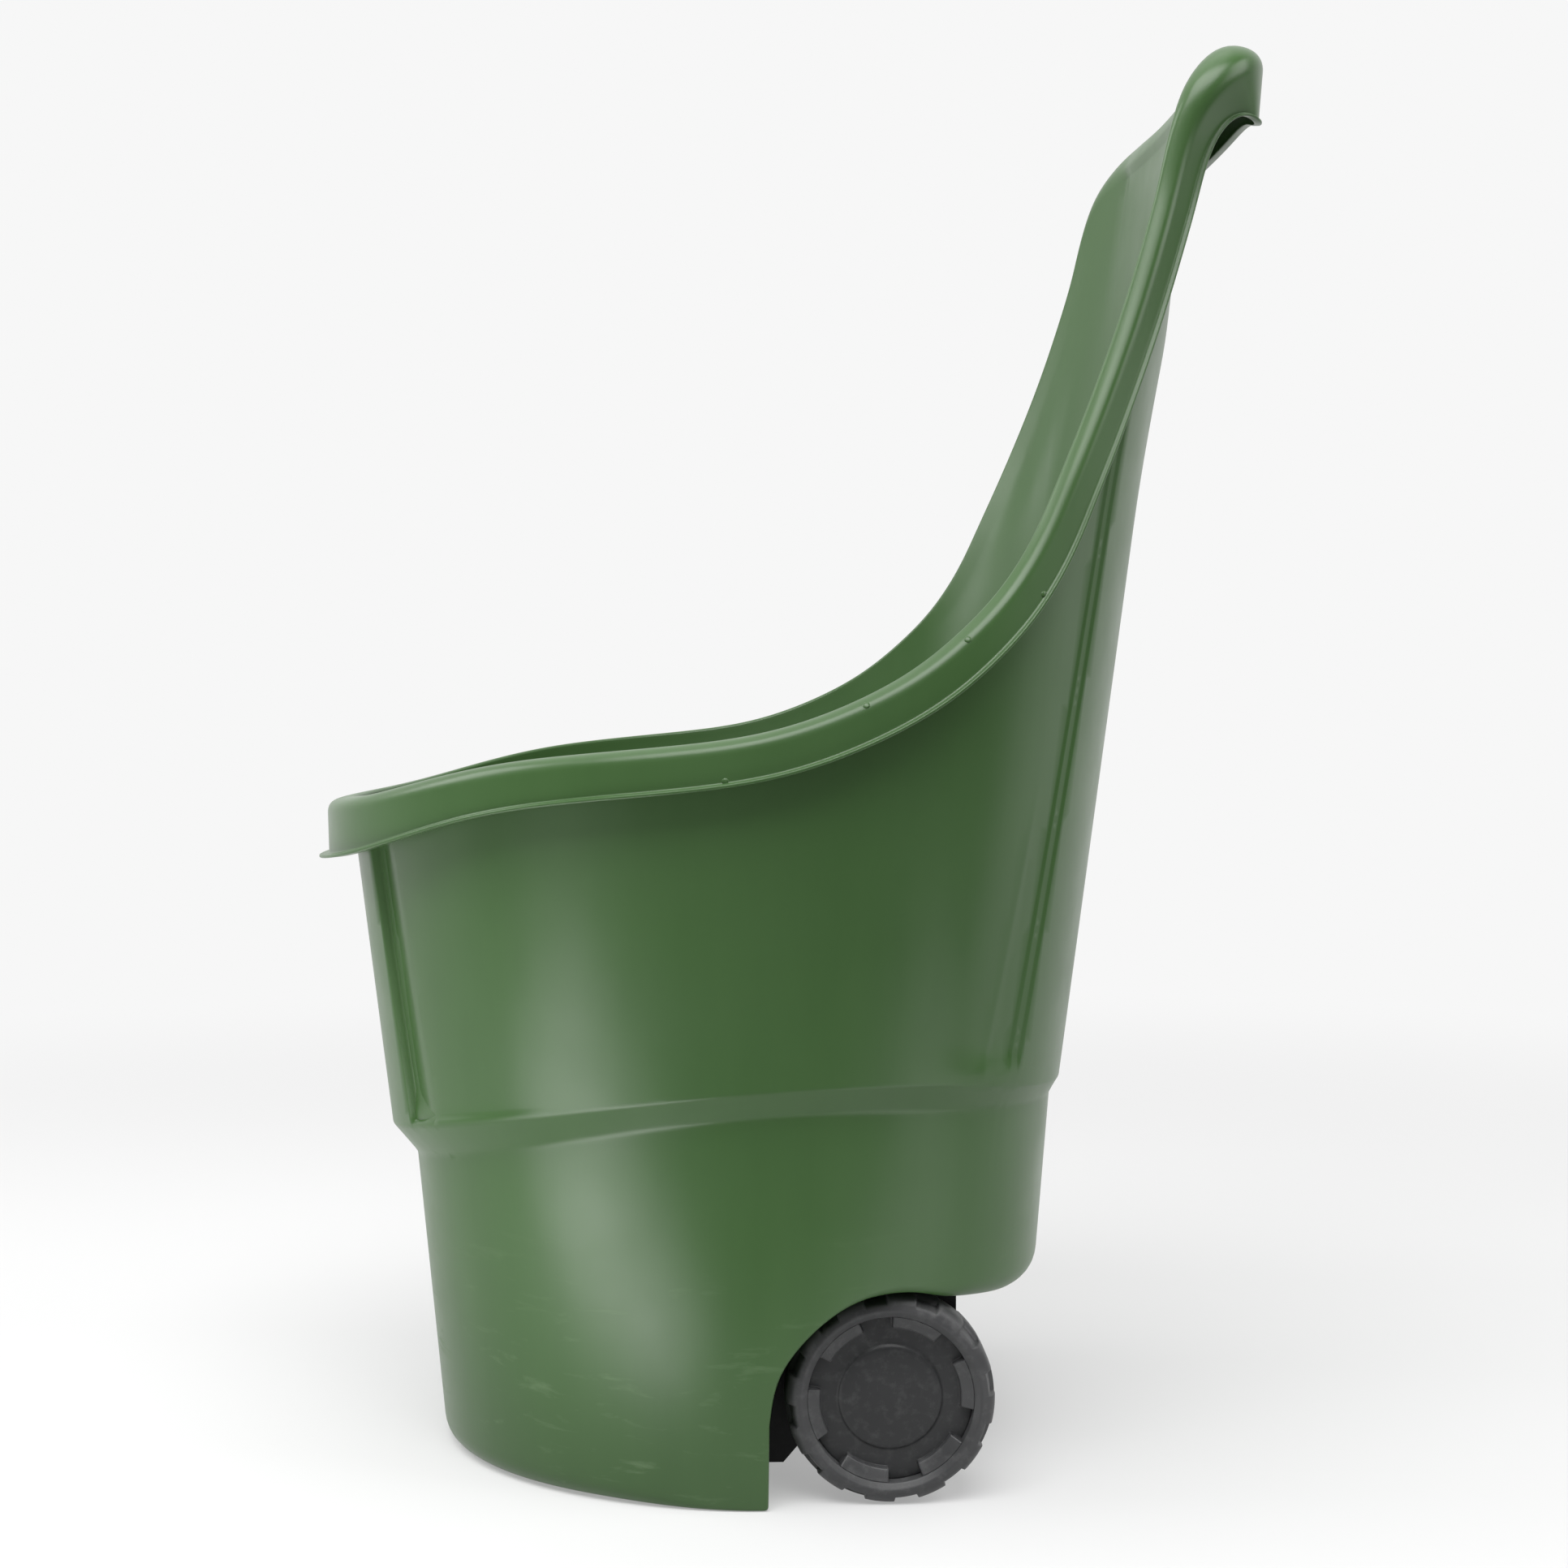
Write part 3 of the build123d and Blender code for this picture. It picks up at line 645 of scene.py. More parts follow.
def refine_step(zs, phi, off):
    zl, zu = step_z(np.array(phi))
    lift = off * 0.55
    zl, zu = float(zl) + lift, float(zu) + lift
    keep = zs[(zs < zl - 6) | (zs > zu + 9)]
    t = np.array([-0.12, -0.02, 0.06, 0.13, 0.2, 0.3, 0.42, 0.54, 0.66, 0.78, 0.88, 0.93, 0.97, 1.01, 1.08])
    fine = zl + (zu - zl) * t
    more = np.array([zu + 3.0, zu + 4.6, zu + 6.4])
    out = np.concatenate([keep, fine, more])
    lo, hi = zs.min(), zs.max()
    out = out[(out >= lo) & (out <= hi)]
    return np.sort(out)


def in_loop(G, L):
    x, y = G[:, 0], G[:, 1]
    c = np.zeros(len(G), bool)
    for (x1, y1), (x2, y2) in zip(L, np.roll(L, -1, axis=0)):
        if y1 == y2:
            continue
        m = ((y1 > y) != (y2 > y))
        xi = (x2 - x1) * (y - y1) / (y2 - y1) + x1
        c ^= m & (x < xi)
    return c


def inside(G, L, margin):
    """grid points inside loop L and at least margin from it"""
    a = L; b = np.roll(L, -1, axis=0)
    G = G[in_loop(G, L)]
    # dense boundary
    dn = []
    for p, q in zip(a, b):
        n = max(1, int(np.linalg.norm(q - p) / 1.5))
        dn.append(p + (q - p) * (np.arange(n) / n)[:, None])
    dn = np.concatenate(dn)
    keep = np.empty(len(G), bool)
    for i in range(0, len(G), 2000):
        d = G[i:i + 2000, None, :] - dn[None]
        keep[i:i + 2000] = (d ** 2).sum(2).min(1) > margin * margin
    return thin(G[keep], 0.75)


def thin(G, tol):
    """drop points that fall on nearly the same place"""
    key = np.round(G / tol).astype(int)
    _, i = np.unique(key, axis=0, return_index=True)
    return G[np.sort(i)]


def cdt(L, G, lines=()):
    """triangles inside loop L through the points G and along the lines"""
    n = len(L)
    edges = [(i, (i + 1) % n) for i in range(n)]
    k = n
    add = []
    for q in lines:
        ok = in_loop(q, L)
        d = np.array([((L - p) ** 2).sum(1).min() for p in q])
        ok &= d > 2.2 ** 2
        idx = -1
        for p, o in zip(q, ok):
            if o:
                add.append(p)
                if idx >= 0:
                    edges.append((idx, k))
                idx = k
                k += 1
            else:
                idx = -1
    if add:
        add = np.array(add)
        keep = np.empty(len(G), bool)
        for i in range(0, len(G), 2000):
            d = G[i:i + 2000, None, :] - add[None]
            keep[i:i + 2000] = (d ** 2).sum(2).min(1) > 1.7 ** 2
        G = np.concatenate([add, G[keep]])
    vs = [Vector((float(a), float(b))) for a, b in np.concatenate([L, G])]
    co, _, fc, ov, _, _ = delaunay_2d_cdt(vs, edges, [], 0, 1e-5, True)
    # put the points back in the order they went in
    back = [o[0] if len(o) else -1 for o in ov]
    inv = {}
    for new, olds in enumerate(ov):
        for o in olds:
            inv[o] = new
    order = np.concatenate([L, G])
    remap = np.array(back)
    tri = []
    for f in fc:
        k = [int(remap[i]) for i in f]
        if min(k) < 0:
            continue
        a, b, c = order[k[0]], order[k[1]], order[k[2]]
        area = (b[0] - a[0]) * (c[1] - a[1]) - (b[1] - a[1]) * (c[0] - a[0])
        if abs(area) < 1e-7:
            continue
        tri.append(k if area > 0 else k[::-1])
    tri = np.array(tri)
    ok = in_loop(order[tri].mean(1), L)
    print("sheet", len(tri), "outside", int((~ok).sum()), "new", sum(1 for o in ov if not len(o)))
    return order, tri[ok].tolist()


# ------------------------------------------------------------------ rim strip
def build_rim(verts, faces):
    global RIM_IDS, TOP_PHI
    S = len(COL_P)
    P = (COL_P[:, None, :] + COL_N[:, None, :] * PROF[..., 0:1] + COL_D[:, None, :] * PROF[..., 1:2])
    # the two legs lie on the wall's own faces
    h = COL_PAR[:, 0]
    ru = 6.5 + (30.0 - 6.5) * h
    for j in range(K_PROF):
        for leg, off in ((0.0, 0.0), (-WALL, -WALL)):
            on = np.abs(PROF[:, j, 0] - leg) < 1e-6
            if not on.any():
                continue
            idx = np.where(on)[0]
            base = COL_P[idx] + COL_D[idx] * PROF[idx, j, 1:2]
            _, ph = project(base, 0.0)
            ph[base[:, 1] > -1e-6] = np.where(base[base[:, 1] > -1e-6][:, 0] < 0, 0.0, math.pi)
            target = wall_point(ph, base[:, 2], off)
            w = smooth((PROF[idx, j, 1] - 0.25 * ru[idx]) / (0.75 * ru[idx]))[:, None]
            P[idx, j] = P[idx, j] * (1 - w) + target * w
            if j == 0:
                TOP_PHI = ph.copy()
    P[0, :, 1] = 0; P[-1, :, 1] = 0
    TOP_PHI[0], TOP_PHI[-1] = 0.0, math.pi
    base = len(verts)
    verts.extend(P.reshape(-1, 3).tolist())
    RIM_IDS = base + np.arange(S * K_PROF).reshape(S, K_PROF)
    for i in range(S - 1):
        for j in range(K_PROF - 1):
            faces.append((RIM_IDS[i, j], RIM_IDS[i, j + 1], RIM_IDS[i + 1, j + 1], RIM_IDS[i + 1, j]))


def to_object(name, verts, faces, mirror=True, merge=True):
    v = np.array(verts, float)
    f = [tuple(int(k) for k in q) for q in faces]
    if mirror:
        n = len(v)
        m = v * [1, -1, 1]
        v = np.concatenate([v, m])
        f = f + [tuple(k + n for k in q[::-1]) for q in f]
    v = v + [DX, 0, 0]
    me = bpy.data.meshes.new(name)
    me.from_pydata((v * MM).tolist(), [], f)
    me.update()
    import bmesh
    bm = bmesh.new(); bm.from_mesh(me)
    if merge:
        bmesh.ops.remove_doubles(bm, verts=bm.verts, dist=2e-6)
    bmesh.ops.recalc_face_normals(bm, faces=bm.faces)
    bm.to_mesh(me)
    open_edges = sum(1 for e in bm.edges if len(e.link_faces) != 2)
    print(name, "verts", len(bm.verts), "faces", len(bm.faces), "open edges", open_edges,
          "volume", round(bm.calc_volume() * 1e9))
    bm.free()
    me.polygons.foreach_set("use_smooth", [True] * len(me.polygons))
    ob = bpy.data.objects.new(name, me)
    bpy.context.scene.collection.objects.link(ob)
    return ob


verts, faces = [], []
build_rim(verts, faces)
build_cup(0.0, verts, faces)
build_cup(WALL, verts, faces)
tub = to_object("tub_moulding", verts, faces)



# ------------------------------------------------------------------ small marks moulded on the tub
def dome(c, n, r, h):
    """low round gate mark: a closed button sunk a little into the surface"""
    n = np.array(n) / np.linalg.norm(n)
    u = unit(np.cross(n, [0.3, 0.2, 0.93])); w = np.cross(n, u)
    vs, fs = [(c - n * 0.5).tolist()], []
    rings = [(r, -0.5), (r, 0.0), (r * 0.86, h * 0.5), (r * 0.55, h * 0.88), (r * 0.25, h)]
    for rr, hh in rings:
        for q in range(14):
            a = 2 * math.pi * q / 14
            vs.append((c + (u * math.cos(a) + w * math.sin(a)) * rr + n * hh).tolist())
    vs.append((c + n * h * 1.02).tolist())
    for q in range(14):
        p = (q + 1) % 14
        fs.append((0, 1 + p, 1 + q))
        for k in range(4):
            fs.append((1 + k * 14 + q, 1 + k * 14 + p, 1 + (k + 1) * 14 + p, 1 + (k + 1) * 14 + q))
        fs.append((1 + 56 + q, 1 + 56 + p, len(vs) - 1))
    return vs, fs


def marks():
    vs, fs = [], []
    V = np.array(verts[:len(COL_P) * K_PROF]).reshape(len(COL_P), K_PROF, 3)
    for i, j in ((104, 45), (127, 57), (146, 57), (160, 45)):
        c = V[i, j]
        n = np.cross(V[i + 1, j] - V[i - 1, j], V[i, j + 1] - V[i, j - 1])
        if n[1] > 0:
            n = -n
        v, f = dome(c, n, 2.0, 0.55)
        k = len(vs)
        vs += v; fs += [tuple(q + k for q in t) for t in f]
    return vs, fs


# ------------------------------------------------------------------ wheels
def revolve(name, base, notch, spans, centre, side, n_plain=96):
    """ring from a closed (radius, y) outline; inside the spans the outline turns into notch"""
    base = np.array(base, float); notch = np.array(notch, float)
    th = set(np.round(np.linspace(0, 2 * math.pi, n_plain, endpoint=False), 6))
    for a, half, ramp in spans:
        for q in (-half - ramp, -half - ramp * .7, -half - ramp * .3, -half, half, half + ramp * .3,
                  half + ramp * .7, half + ramp):
            th.add(round((a + q) % (2 * math.pi), 6))
    th = np.array(sorted(th))
    f = np.zeros(len(th))
    for a, half, ramp in spans:
        d = np.abs((th - a + math.pi) % (2 * math.pi) - math.pi)
        t = np.clip((half + ramp - d) / ramp, 0, 1)
        f = np.maximum(f, t * t * (3 - 2 * t))
    prof = base[None] * (1 - f[:, None, None]) + notch[None] * f[:, None, None]
    r, y = prof[..., 0], prof[..., 1] * side
    x = centre[0] + r * np.cos(th)[:, None]
    z = centre[1] + r * np.sin(th)[:, None]
    P = np.stack([x, y, z], -1)
    m, k = P.shape[:2]
    vs = P.reshape(-1, 3).tolist()
    fs = []
    for i in range(m):
        for j in range(k):
            a, b = i * k + j, i * k + (j + 1) % k
            c, d = ((i + 1) % m) * k + (j + 1) % k, ((i + 1) % m) * k + j
            fs.append((a, b, c, d))
    return vs, fs


def wheel(side, label):
    C = (57.0, 60.0)
    tail = [(47.7, 147.8), (46.8, 147), (15.2, 147), (14, 147.8), (14, 148.4), (13.4, 149), (5.5, 149),
            (5.05, 148.5)]
    head = [(5.05, 131.5), (5.5, 131.0), (13.3, 131.0), (14, 131.7), (14, 141.8), (15.2, 143), (52.8, 143),
            (54.6, 141.6), (55.3, 133.0)]
    face = [(53.8, 164.55), (52.8, 164.9), (51.9, 165), (51.1, 164.8), (50.4, 164.3), (49.0, 163.3),
            (47.9, 162.5), (47.7, 162.3)]
    body = head + [(56.2, 131.2), (57.2, 131), (58.4, 131.6), (59.4, 133.4), (60, 136.5),
                   (60, 138.5), (60, 139.0), (60, 151.6), (60, 152.2), (59.98, 155.5), (59.7, 158.4),
                   (58.9, 160.9), (57.6, 162.7), (56.0, 163.8), (54.9, 164.25)] + face + tail
    cut = head + [(55.5, 131.6), (55.8, 131.4), (56.2, 132.2), (56.6, 133.6), (56.9, 136.5),
                  (57.2, 137.6), (60, 139.0), (60, 151.6), (57.9, 152.6), (57.4, 153.6), (57.1, 156.6),
                  (56.6, 159.3), (56.2, 161.0), (55.8, 162.9), (55.2, 164.0)] + face + tail
    outer_only = [b if q < 16 else c for q, (b, c) in enumerate(zip(body, cut))]
    inner_only = list(body); inner_only[9:16] = cut[9:16]
    half = 6.0 / 58.0; ramp = 1.1 / 58.0
    so = [(math.radians(8.9 + 30 * i), half, ramp) for i in range(12)]
    si = [(math.radians(23.9 + 30 * i), half, ramp) for i in range(12)]
    if side > 0:
        so = [((math.pi - a) % (2 * math.pi), h, r) for a, h, r in so]
        si = [((math.pi - a) % (2 * math.pi), h, r) for a, h, r in si]
    # both rows of notches in one ring: first the outer ones, then the inner ones take their own points
    base = np.array(body); no = np.array(outer_only); ni = np.array(inner_only)
    th = set(np.round(np.linspace(0, 2 * math.pi, 120, endpoint=False), 6))
    for a, h, r in so + si:
        for q in (-h - r, -h - r * .66, -h - r * .33, -h, h, h + r * .33, h + r * .66, h + r):
            th.add(round((a + q) % (2 * math.pi), 6))
    th = np.array(sorted(th))

    def mask(spans):
        f = np.zeros(len(th))
        for a, h, r in spans:
            d = np.abs((th - a + math.pi) % (2 * math.pi) - math.pi)
            t = np.clip((h + r - d) / r, 0, 1)
            f = np.maximum(f, t * t * (3 - 2 * t))
        return f[:, None, None]
    prof = base[None] + (no - base)[None] * mask(so) + (ni - base)[None] * mask(si)
    r, y = prof[..., 0], prof[..., 1] * side
    P = np.stack([C[0] + r * np.cos(th)[:, None], y, C[1] + r * np.sin(th)[:, None]], -1)
    m, k = P.shape[:2]
    vs = P.reshape(-1, 3).tolist()
    fs = [(i * k + j, i * k + (j + 1) % k, ((i + 1) % m) * k + (j + 1) % k, ((i + 1) % m) * k + j)
          for i in range(m) for j in range(k)]
    # ribs between hub and barrel on the inner face
    for q in range(6):
        a = math.radians(30 + 60 * q)
        d = np.array([math.cos(a), math.sin(a)]); n = np.array([-d[1], d[0]])
        b0 = len(vs)
        loop = [(-1.6, 143.4), (-1.45, 134.2), (-0.9, 133.6), (0.9, 133.6), (1.45, 134.2), (1.6, 143.4)]
        for rr in (13.6, 20, 30, 40, 50, 55.0):
            for w, yy in loop:
                p = d * rr + n * w
                vs.append([C[0] + p[0], yy * side, C[1] + p[1]])
        for s in range(5):
            for w in range(6):
                fs.append((b0 + s * 6 + w, b0 + s * 6 + (w + 1) % 6, b0 + (s + 1) * 6 + (w + 1) % 6,
                           b0 + (s + 1) * 6 + w))
        fs.append(tuple(b0 + w for w in range(6))[::-1]); fs.append(tuple(b0 + 30 + w for w in range(6)))
    tyre = to_object("wheel_ring_" + label, vs, fs, mirror=False, merge=False)
    cov = [(0.02, 157.4), (0.25, 157.4), (1.0, 157.4), (8, 157.4), (15, 157.35), (22, 157.2), (27.0, 157.05),
           (29.0, 156.85), (29.7, 156.3), (30.3, 155.7), (31.4, 155.5), (39.2, 155.4), (39.9, 155.5),
           (40.2, 156.0), (40.4, 158.6), (40.7, 159.1), (41.5, 159.6), (44.6, 160.9), (47.0, 162.0),
           (47.4, 162.2), (47.65, 161.9), (47.65, 148.0), (47.3, 147.1), (45.3, 147.1), (45.1, 152.0),
           (44.1, 152.6), (15, 152.8), (1.0, 152.8), (0.02, 152.8)]
    gap = [list(p) for p in cov]
    for q, (rr, yy) in {12: (40.3, 155.4), 13: (41.6, 155.4), 14: (43.2, 155.4), 15: (44.0, 155.4),
                        16: (44.9, 155.4), 17: (45.9, 155.4), 18: (46.7, 155.4), 19: (47.3, 155.4),
                        20: (47.65, 155.2)}.items():
        gap[q] = [rr, yy]
    gh = 8.7 / 44.0; gr = 0.7 / 44.0
    sp = [(math.radians(100.5 + 60 * q), gh, gr) for q in range(6)]
    if side > 0:
        sp = [((math.pi - a) % (2 * math.pi), h, r) for a, h, r in sp]
    vs, fs = revolve("c", cov, gap, sp, C, side, 120)
    cover = to_object("wheel_hubcap_" + label, vs, fs, mirror=False, merge=False)
    return tyre, cover


parts = {}
for side, label in ((-1, "left"), (1, "right")):
    tyre, cover = wheel(side, label)
    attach(tyre, "wheel_" + label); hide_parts("wheel_body_" + label)
    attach(cover, "wheel_" + label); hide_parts("wheel_cover_" + label)
    parts[label] = (tyre, cover)
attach(tub, "cart"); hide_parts("tub_shell")
mv, mf = marks()
pips = to_object("rim_gate_marks", mv, mf, merge=False)
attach(pips, "cart")


# ------------------------------------------------------------------ materials
class Mat:
    def __init__(self, name):
        self.m = bpy.data.materials.new(name)
        self.m.use_nodes = True
        self.t = self.m.node_tree
        self.b = self.t.nodes["Principled BSDF"]
        self.co = self.t.nodes.new("ShaderNodeTexCoord").outputs["Object"]

    def node(self, kind, **kw):
        n = self.t.nodes.new(kind)
        for k, v in kw.items():
            if hasattr(n, k):
                setattr(n, k, v)
            else:
                n.inputs[k.replace("_", " ")].default_value = v
        return n

    def link(self, a, b):
        self.t.links.new(a, b)

    def mapped(self, scale, rot=(0, 0, 0)):
        n = self.node("ShaderNodeMapping")
        n.inputs["Scale"].default_value = scale
        n.inputs["Rotation"].default_value = rot
        self.link(self.co, n.inputs["Vector"])
        return n.outputs["Vector"]

    def noise(self, scale, detail=4.0, rough=0.5, vec=None, distort=0.0):
        n = self.node("ShaderNodeTexNoise")
        n.inputs["Scale"].default_value = scale
        n.inputs["Detail"].default_value = detail
        n.inputs["Roughness"].default_value = rough
        n.inputs["Distortion"].default_value = distort
        self.link(vec if vec is not None else self.co, n.inputs["Vector"])
        return n.outputs["Fac"]

    def ramp(self, fac, stops):
        n = self.node("ShaderNodeValToRGB")
        e = n.color_ramp.elements
        while len(e) < len(stops):
            e.new(0.5)
        for k, (p, c) in zip(e, stops):
            k.position = p
            k.color = c if len(c) == 4 else (*c, 1)
        self.link(fac, n.inputs["Fac"])
        return n.outputs["Color"]

    def maprange(self, v, a, b, c, d):
        n = self.node("ShaderNodeMapRange")
        for k, x in zip(("From Min", "From Max", "To Min", "To Max"), (a, b, c, d)):
            n.inputs[k].default_value = x
        self.link(v, n.inputs["Value"])
        return n.outputs["Result"]

    def math(self, op, a, b):
        n = self.node("ShaderNodeMath", operation=op)
        for i, v in enumerate((a, b)):
            if isinstance(v, (int, float)):
                n.inputs[i].default_value = v
            else:
                self.link(v, n.inputs[i])
        return n.outputs[0]

    def mix(self, fac, a, b, mode="MIX"):
        n = self.node("ShaderNodeMix", data_type="RGBA", blend_type=mode)
        for sock, v in ((n.inputs["Factor"], fac), (n.inputs[6], a), (n.inputs[7], b)):
            if isinstance(v, (int, float)):
                sock.default_value = v
            elif isinstance(v, tuple):
                sock.default_value = v if len(v) == 4 else (*v, 1)
            else:
                self.link(v, sock)
        return n.outputs[2]

    def bump(self, heights):
        prev = None
        for h, dist, strength in heights:
            n = self.node("ShaderNodeBump")
            n.inputs["Distance"].default_value = dist
            n.inputs["Strength"].default_value = strength
            self.link(h, n.inputs["Height"])
            if prev is not None:
                self.link(prev, n.inputs["Normal"])
            prev = n.outputs["Normal"]
        self.link(prev, self.b.inputs["Normal"])


def green_plastic():
    m = Mat("tub_green_plastic")
    cloud = m.noise(5.5, 3.0, 0.55)
    flow = m.noise(1.0, 4.0, 0.6, m.mapped((38, 38, 3.0)))
    speck = m.noise(900.0, 2.0, 0.5)
    col = m.ramp(cloud, [(0.25, (0.037, 0.086, 0.0245)), (0.75, (0.0435, 0.099, 0.0285))])
    col = m.mix(m.maprange(flow, 0.35, 0.75, 0.0, 0.35), col, (0.050, 0.108, 0.034))
    # pale rubbed marks low on the body
    sep = m.node("ShaderNodeSeparateXYZ"); m.link(m.co, sep.inputs[0])
    low = m.maprange(sep.outputs["Z"], 0.17, 0.05, 0.0, 1.0)
    scr = m.noise(1.0, 5.0, 0.62, m.mapped((26, 26, 120), (0, 0.5, 0)), 0.4)
    scuff = m.math("MULTIPLY", m.maprange(scr, 0.59, 0.75, 0.0, 0.30), low)
    col = m.mix(scuff, col, (0.16, 0.24, 0.13))
    m.link(col, m.b.inputs["Base Color"])
    r1 = m.maprange(m.noise(14.0, 4.0, 0.6), 0.3, 0.7, 0.29, 0.37)
    r = m.math("ADD", r1, m.math("MULTIPLY", scuff, 0.5))
    m.link(r, m.b.inputs["Roughness"])
    m.b.inputs["IOR"].default_value = 1.43
    wav = m.noise(9.0, 2.0, 0.5)
    m.bump([(wav, 0.0012, 0.22), (m.noise(60.0, 3.0, 0.5), 0.0002, 0.09), (speck, 0.00006, 0.16)])
    return m.m


def dark_plastic(name, c0, c1, rough, streak=0.5, ior=1.5):
    m = Mat(name)
    a = m.noise(30.0, 4.0, 0.6)
    col = m.ramp(a, [(0.3, c0), (0.7, c1)])
    dust = m.noise(1.0, 5.0, 0.65, m.mapped((160, 90, 160)))
    d = m.maprange(dust, 0.50, 0.76, 0.0, 0.40 * streak)
    col = m.mix(d, col, (0.13, 0.131, 0.13))
    m.link(col, m.b.inputs["Base Color"])
    m.link(m.math("ADD", m.maprange(a, 0.3, 0.7, rough - 0.05, rough + 0.06), m.math("MULTIPLY", d, 0.6)),
           m.b.inputs["Roughness"])
    m.b.inputs["IOR"].default_value = ior
    m.bump([(m.noise(55.0, 3.0, 0.5), 0.0002, 0.25), (m.noise(1400.0, 2.0, 0.5), 0.00006, 0.45)])
    return m.m


def steel():
    m = Mat("zinc_steel")
    a = m.noise(120.0, 4.0, 0.6)
    col = m.ramp(a, [(0.3, (0.36, 0.37, 0.38)), (0.7, (0.52, 0.53, 0.54))])
    stain = m.maprange(m.noise(45.0, 5.0, 0.6), 0.62, 0.78, 0.0, 0.5)
    col = m.mix(stain, col, (0.17, 0.12, 0.085))
    m.link(col, m.b.inputs["Base Color"])
    m.b.inputs["Metallic"].default_value = 1.0
    m.link(m.math("ADD", m.maprange(a, 0.3, 0.7, 0.28, 0.42), m.math("MULTIPLY", stain, 0.5)),
           m.b.inputs["Roughness"])
    m.bump([(m.noise(1.0, 3.0, 0.6, m.mapped((900, 60, 900))), 0.00005, 0.4), (a, 0.0001, 0.2)])
    return m.m


def assign(o, mat):
    o.data.materials.clear()
    o.data.materials.append(mat)


GREEN = green_plastic()
WHEEL = dark_plastic("wheel_grey_plastic", (0.033, 0.0335, 0.035), (0.044, 0.0445, 0.046), 0.44, 0.9, 1.45)
BLACK = dark_plastic("carrier_black_plastic", (0.0025, 0.0025, 0.003), (0.0045, 0.0045, 0.005), 0.55, 0.10, 1.33)
# darker grey used only as painted shade on the recessed faces of the hubcap
HUB_PAINTED_SHADE = dark_plastic("hubcap_recess_painted_shade", (0.0135, 0.014, 0.015), (0.019, 0.0195, 0.0205), 0.46, 0.5, 1.45)
STEEL = steel()
assign(tub, GREEN)
assign(pips, GREEN)
HUB_X, HUB_Z = 54.8, 60.0      # wheel axis, millimetres
for t_, c_ in parts.values():
    assign(t_, WHEEL); assign(c_, WHEEL)
    # the sunk middle and the notch floors get a darker grey: painted shade in the hubcap's recesses, while the raised
    # ring keeps the wheel grey
    c_.data.materials.append(HUB_PAINTED_SHADE)
    for p_ in c_.data.polygons:
        rr_ = math.hypot(p_.center.x * 1000.0 - HUB_X, p_.center.z * 1000.0 - HUB_Z)
        if rr_ < 40.2 or abs(p_.center.y) * 1000.0 < 157.2:
            p_.material_index = 1
for n_, mat in (("axle_carrier", BLACK), ("axle_rod", STEEL), ("axle_spacer_left", BLACK),
                ("axle_spacer_right", BLACK), ("retaining_washer_left", STEEL), ("retaining_washer_right", STEEL),
                ("push_nut_left", STEEL), ("push_nut_right", STEEL), ("carrier_screws", STEEL),
                ("carrier_nuts", STEEL)):
    o_ = nodes[n_]
    if o_.type == "MESH":
        for s_ in range(max(1, len(o_.material_slots))):
            if o_.material_slots:
                o_.material_slots[s_].material = mat
            else:
                o_.data.materials.append(mat)


# ------------------------------------------------------------------ floor, light, camera
def plane(name, pts, mat):
    me = bpy.data.meshes.new(name)
    me.from_pydata(pts, [], [tuple(range(len(pts)))])
    o = bpy.data.objects.new(name, me)
    bpy.context.scene.collection.objects.link(o)
    me.materials.append(mat)
    return o


def paper(name, base, glow):
    m = bpy.data.materials.new(name); m.use_nodes = True
    b = m.node_tree.nodes["Principled BSDF"]
    b.inputs["Base Color"].default_value = (base, base, base, 1)
    b.inputs["Roughness"].default_value = 1.0
    b.inputs["Specular IOR Level"].default_value = 0.0
    b.inputs["Emission Color"].default_value = (1, 1, 1, 1)
    b.inputs["Emission Strength"].default_value = glow
    return m


FZ = -0.0003
floor_mat = paper("floor_paper", 0.6, 0.2)
ft = floor_mat.node_tree
ftc = ft.nodes.new("ShaderNodeTexCoord")
flen = ft.nodes.new("ShaderNodeVectorMath"); flen.operation = "LENGTH"
ft.links.new(ftc.outputs["Object"], flen.inputs[0])
for sock, lo_, hi_ in (("Emission Strength", 0.34, 0.93), ("Base Color", 0.40, 0.0)):
    mr_ = ft.nodes.new("ShaderNodeMapRange")
    mr_.interpolation_type = "SMOOTHSTEP"
    for k_, v_ in zip(("From Min", "From Max", "To Min", "To Max"), (0.45, 2.2, lo_, hi_)):
        mr_.inputs[k_].default_value = v_
    ft.links.new(flen.outputs["Value"], mr_.inputs["Value"])
    ft.links.new(mr_.outputs["Result"], ft.nodes["Principled BSDF"].inputs[sock])
plane("floor_sweep", [(-9, 14, FZ), (-9, -0.29, FZ), (-0.80, -0.30, FZ), (-0.78, -0.73, FZ), (-0.70, -0.725, FZ),
                      (-0.07, -0.37, FZ), (0.60, -0.70, FZ), (0.80, -0.70, FZ), (0.82, -0.30, FZ),
                      (9, -0.29, FZ), (9, 14, FZ)], floor_mat)
plane("floor_card_left", [(-0.79, -0.30, FZ + .0002), (-0.775, -0.725, FZ + .0002), (-0.70, -0.72, FZ + .0002),
                          (-0.09, -0.375, FZ + .0002), (-0.16, -0.30, FZ + .0002)], paper("card_left", 0.8, 5.6))
plane("floor_card_right", [(0.06, -0.375, FZ + .0002), (0.60, -0.695, FZ + .0002), (0.79, -0.695, FZ + .0002),
                           (0.81, -0.30, FZ + .0002), (0.14, -0.30, FZ + .0002)], paper("card_right", 0.8, 0.6))

world = bpy.data.worlds.new("studio"); bpy.context.scene.world = world
world.use_nodes = True
wt = world.node_tree
bg = wt.nodes["Background"]
tc = wt.nodes.new("ShaderNodeTexCoord")
sp_ = wt.nodes.new("ShaderNodeSeparateXYZ"); wt.links.new(tc.outputs["Generated"], sp_.inputs[0])


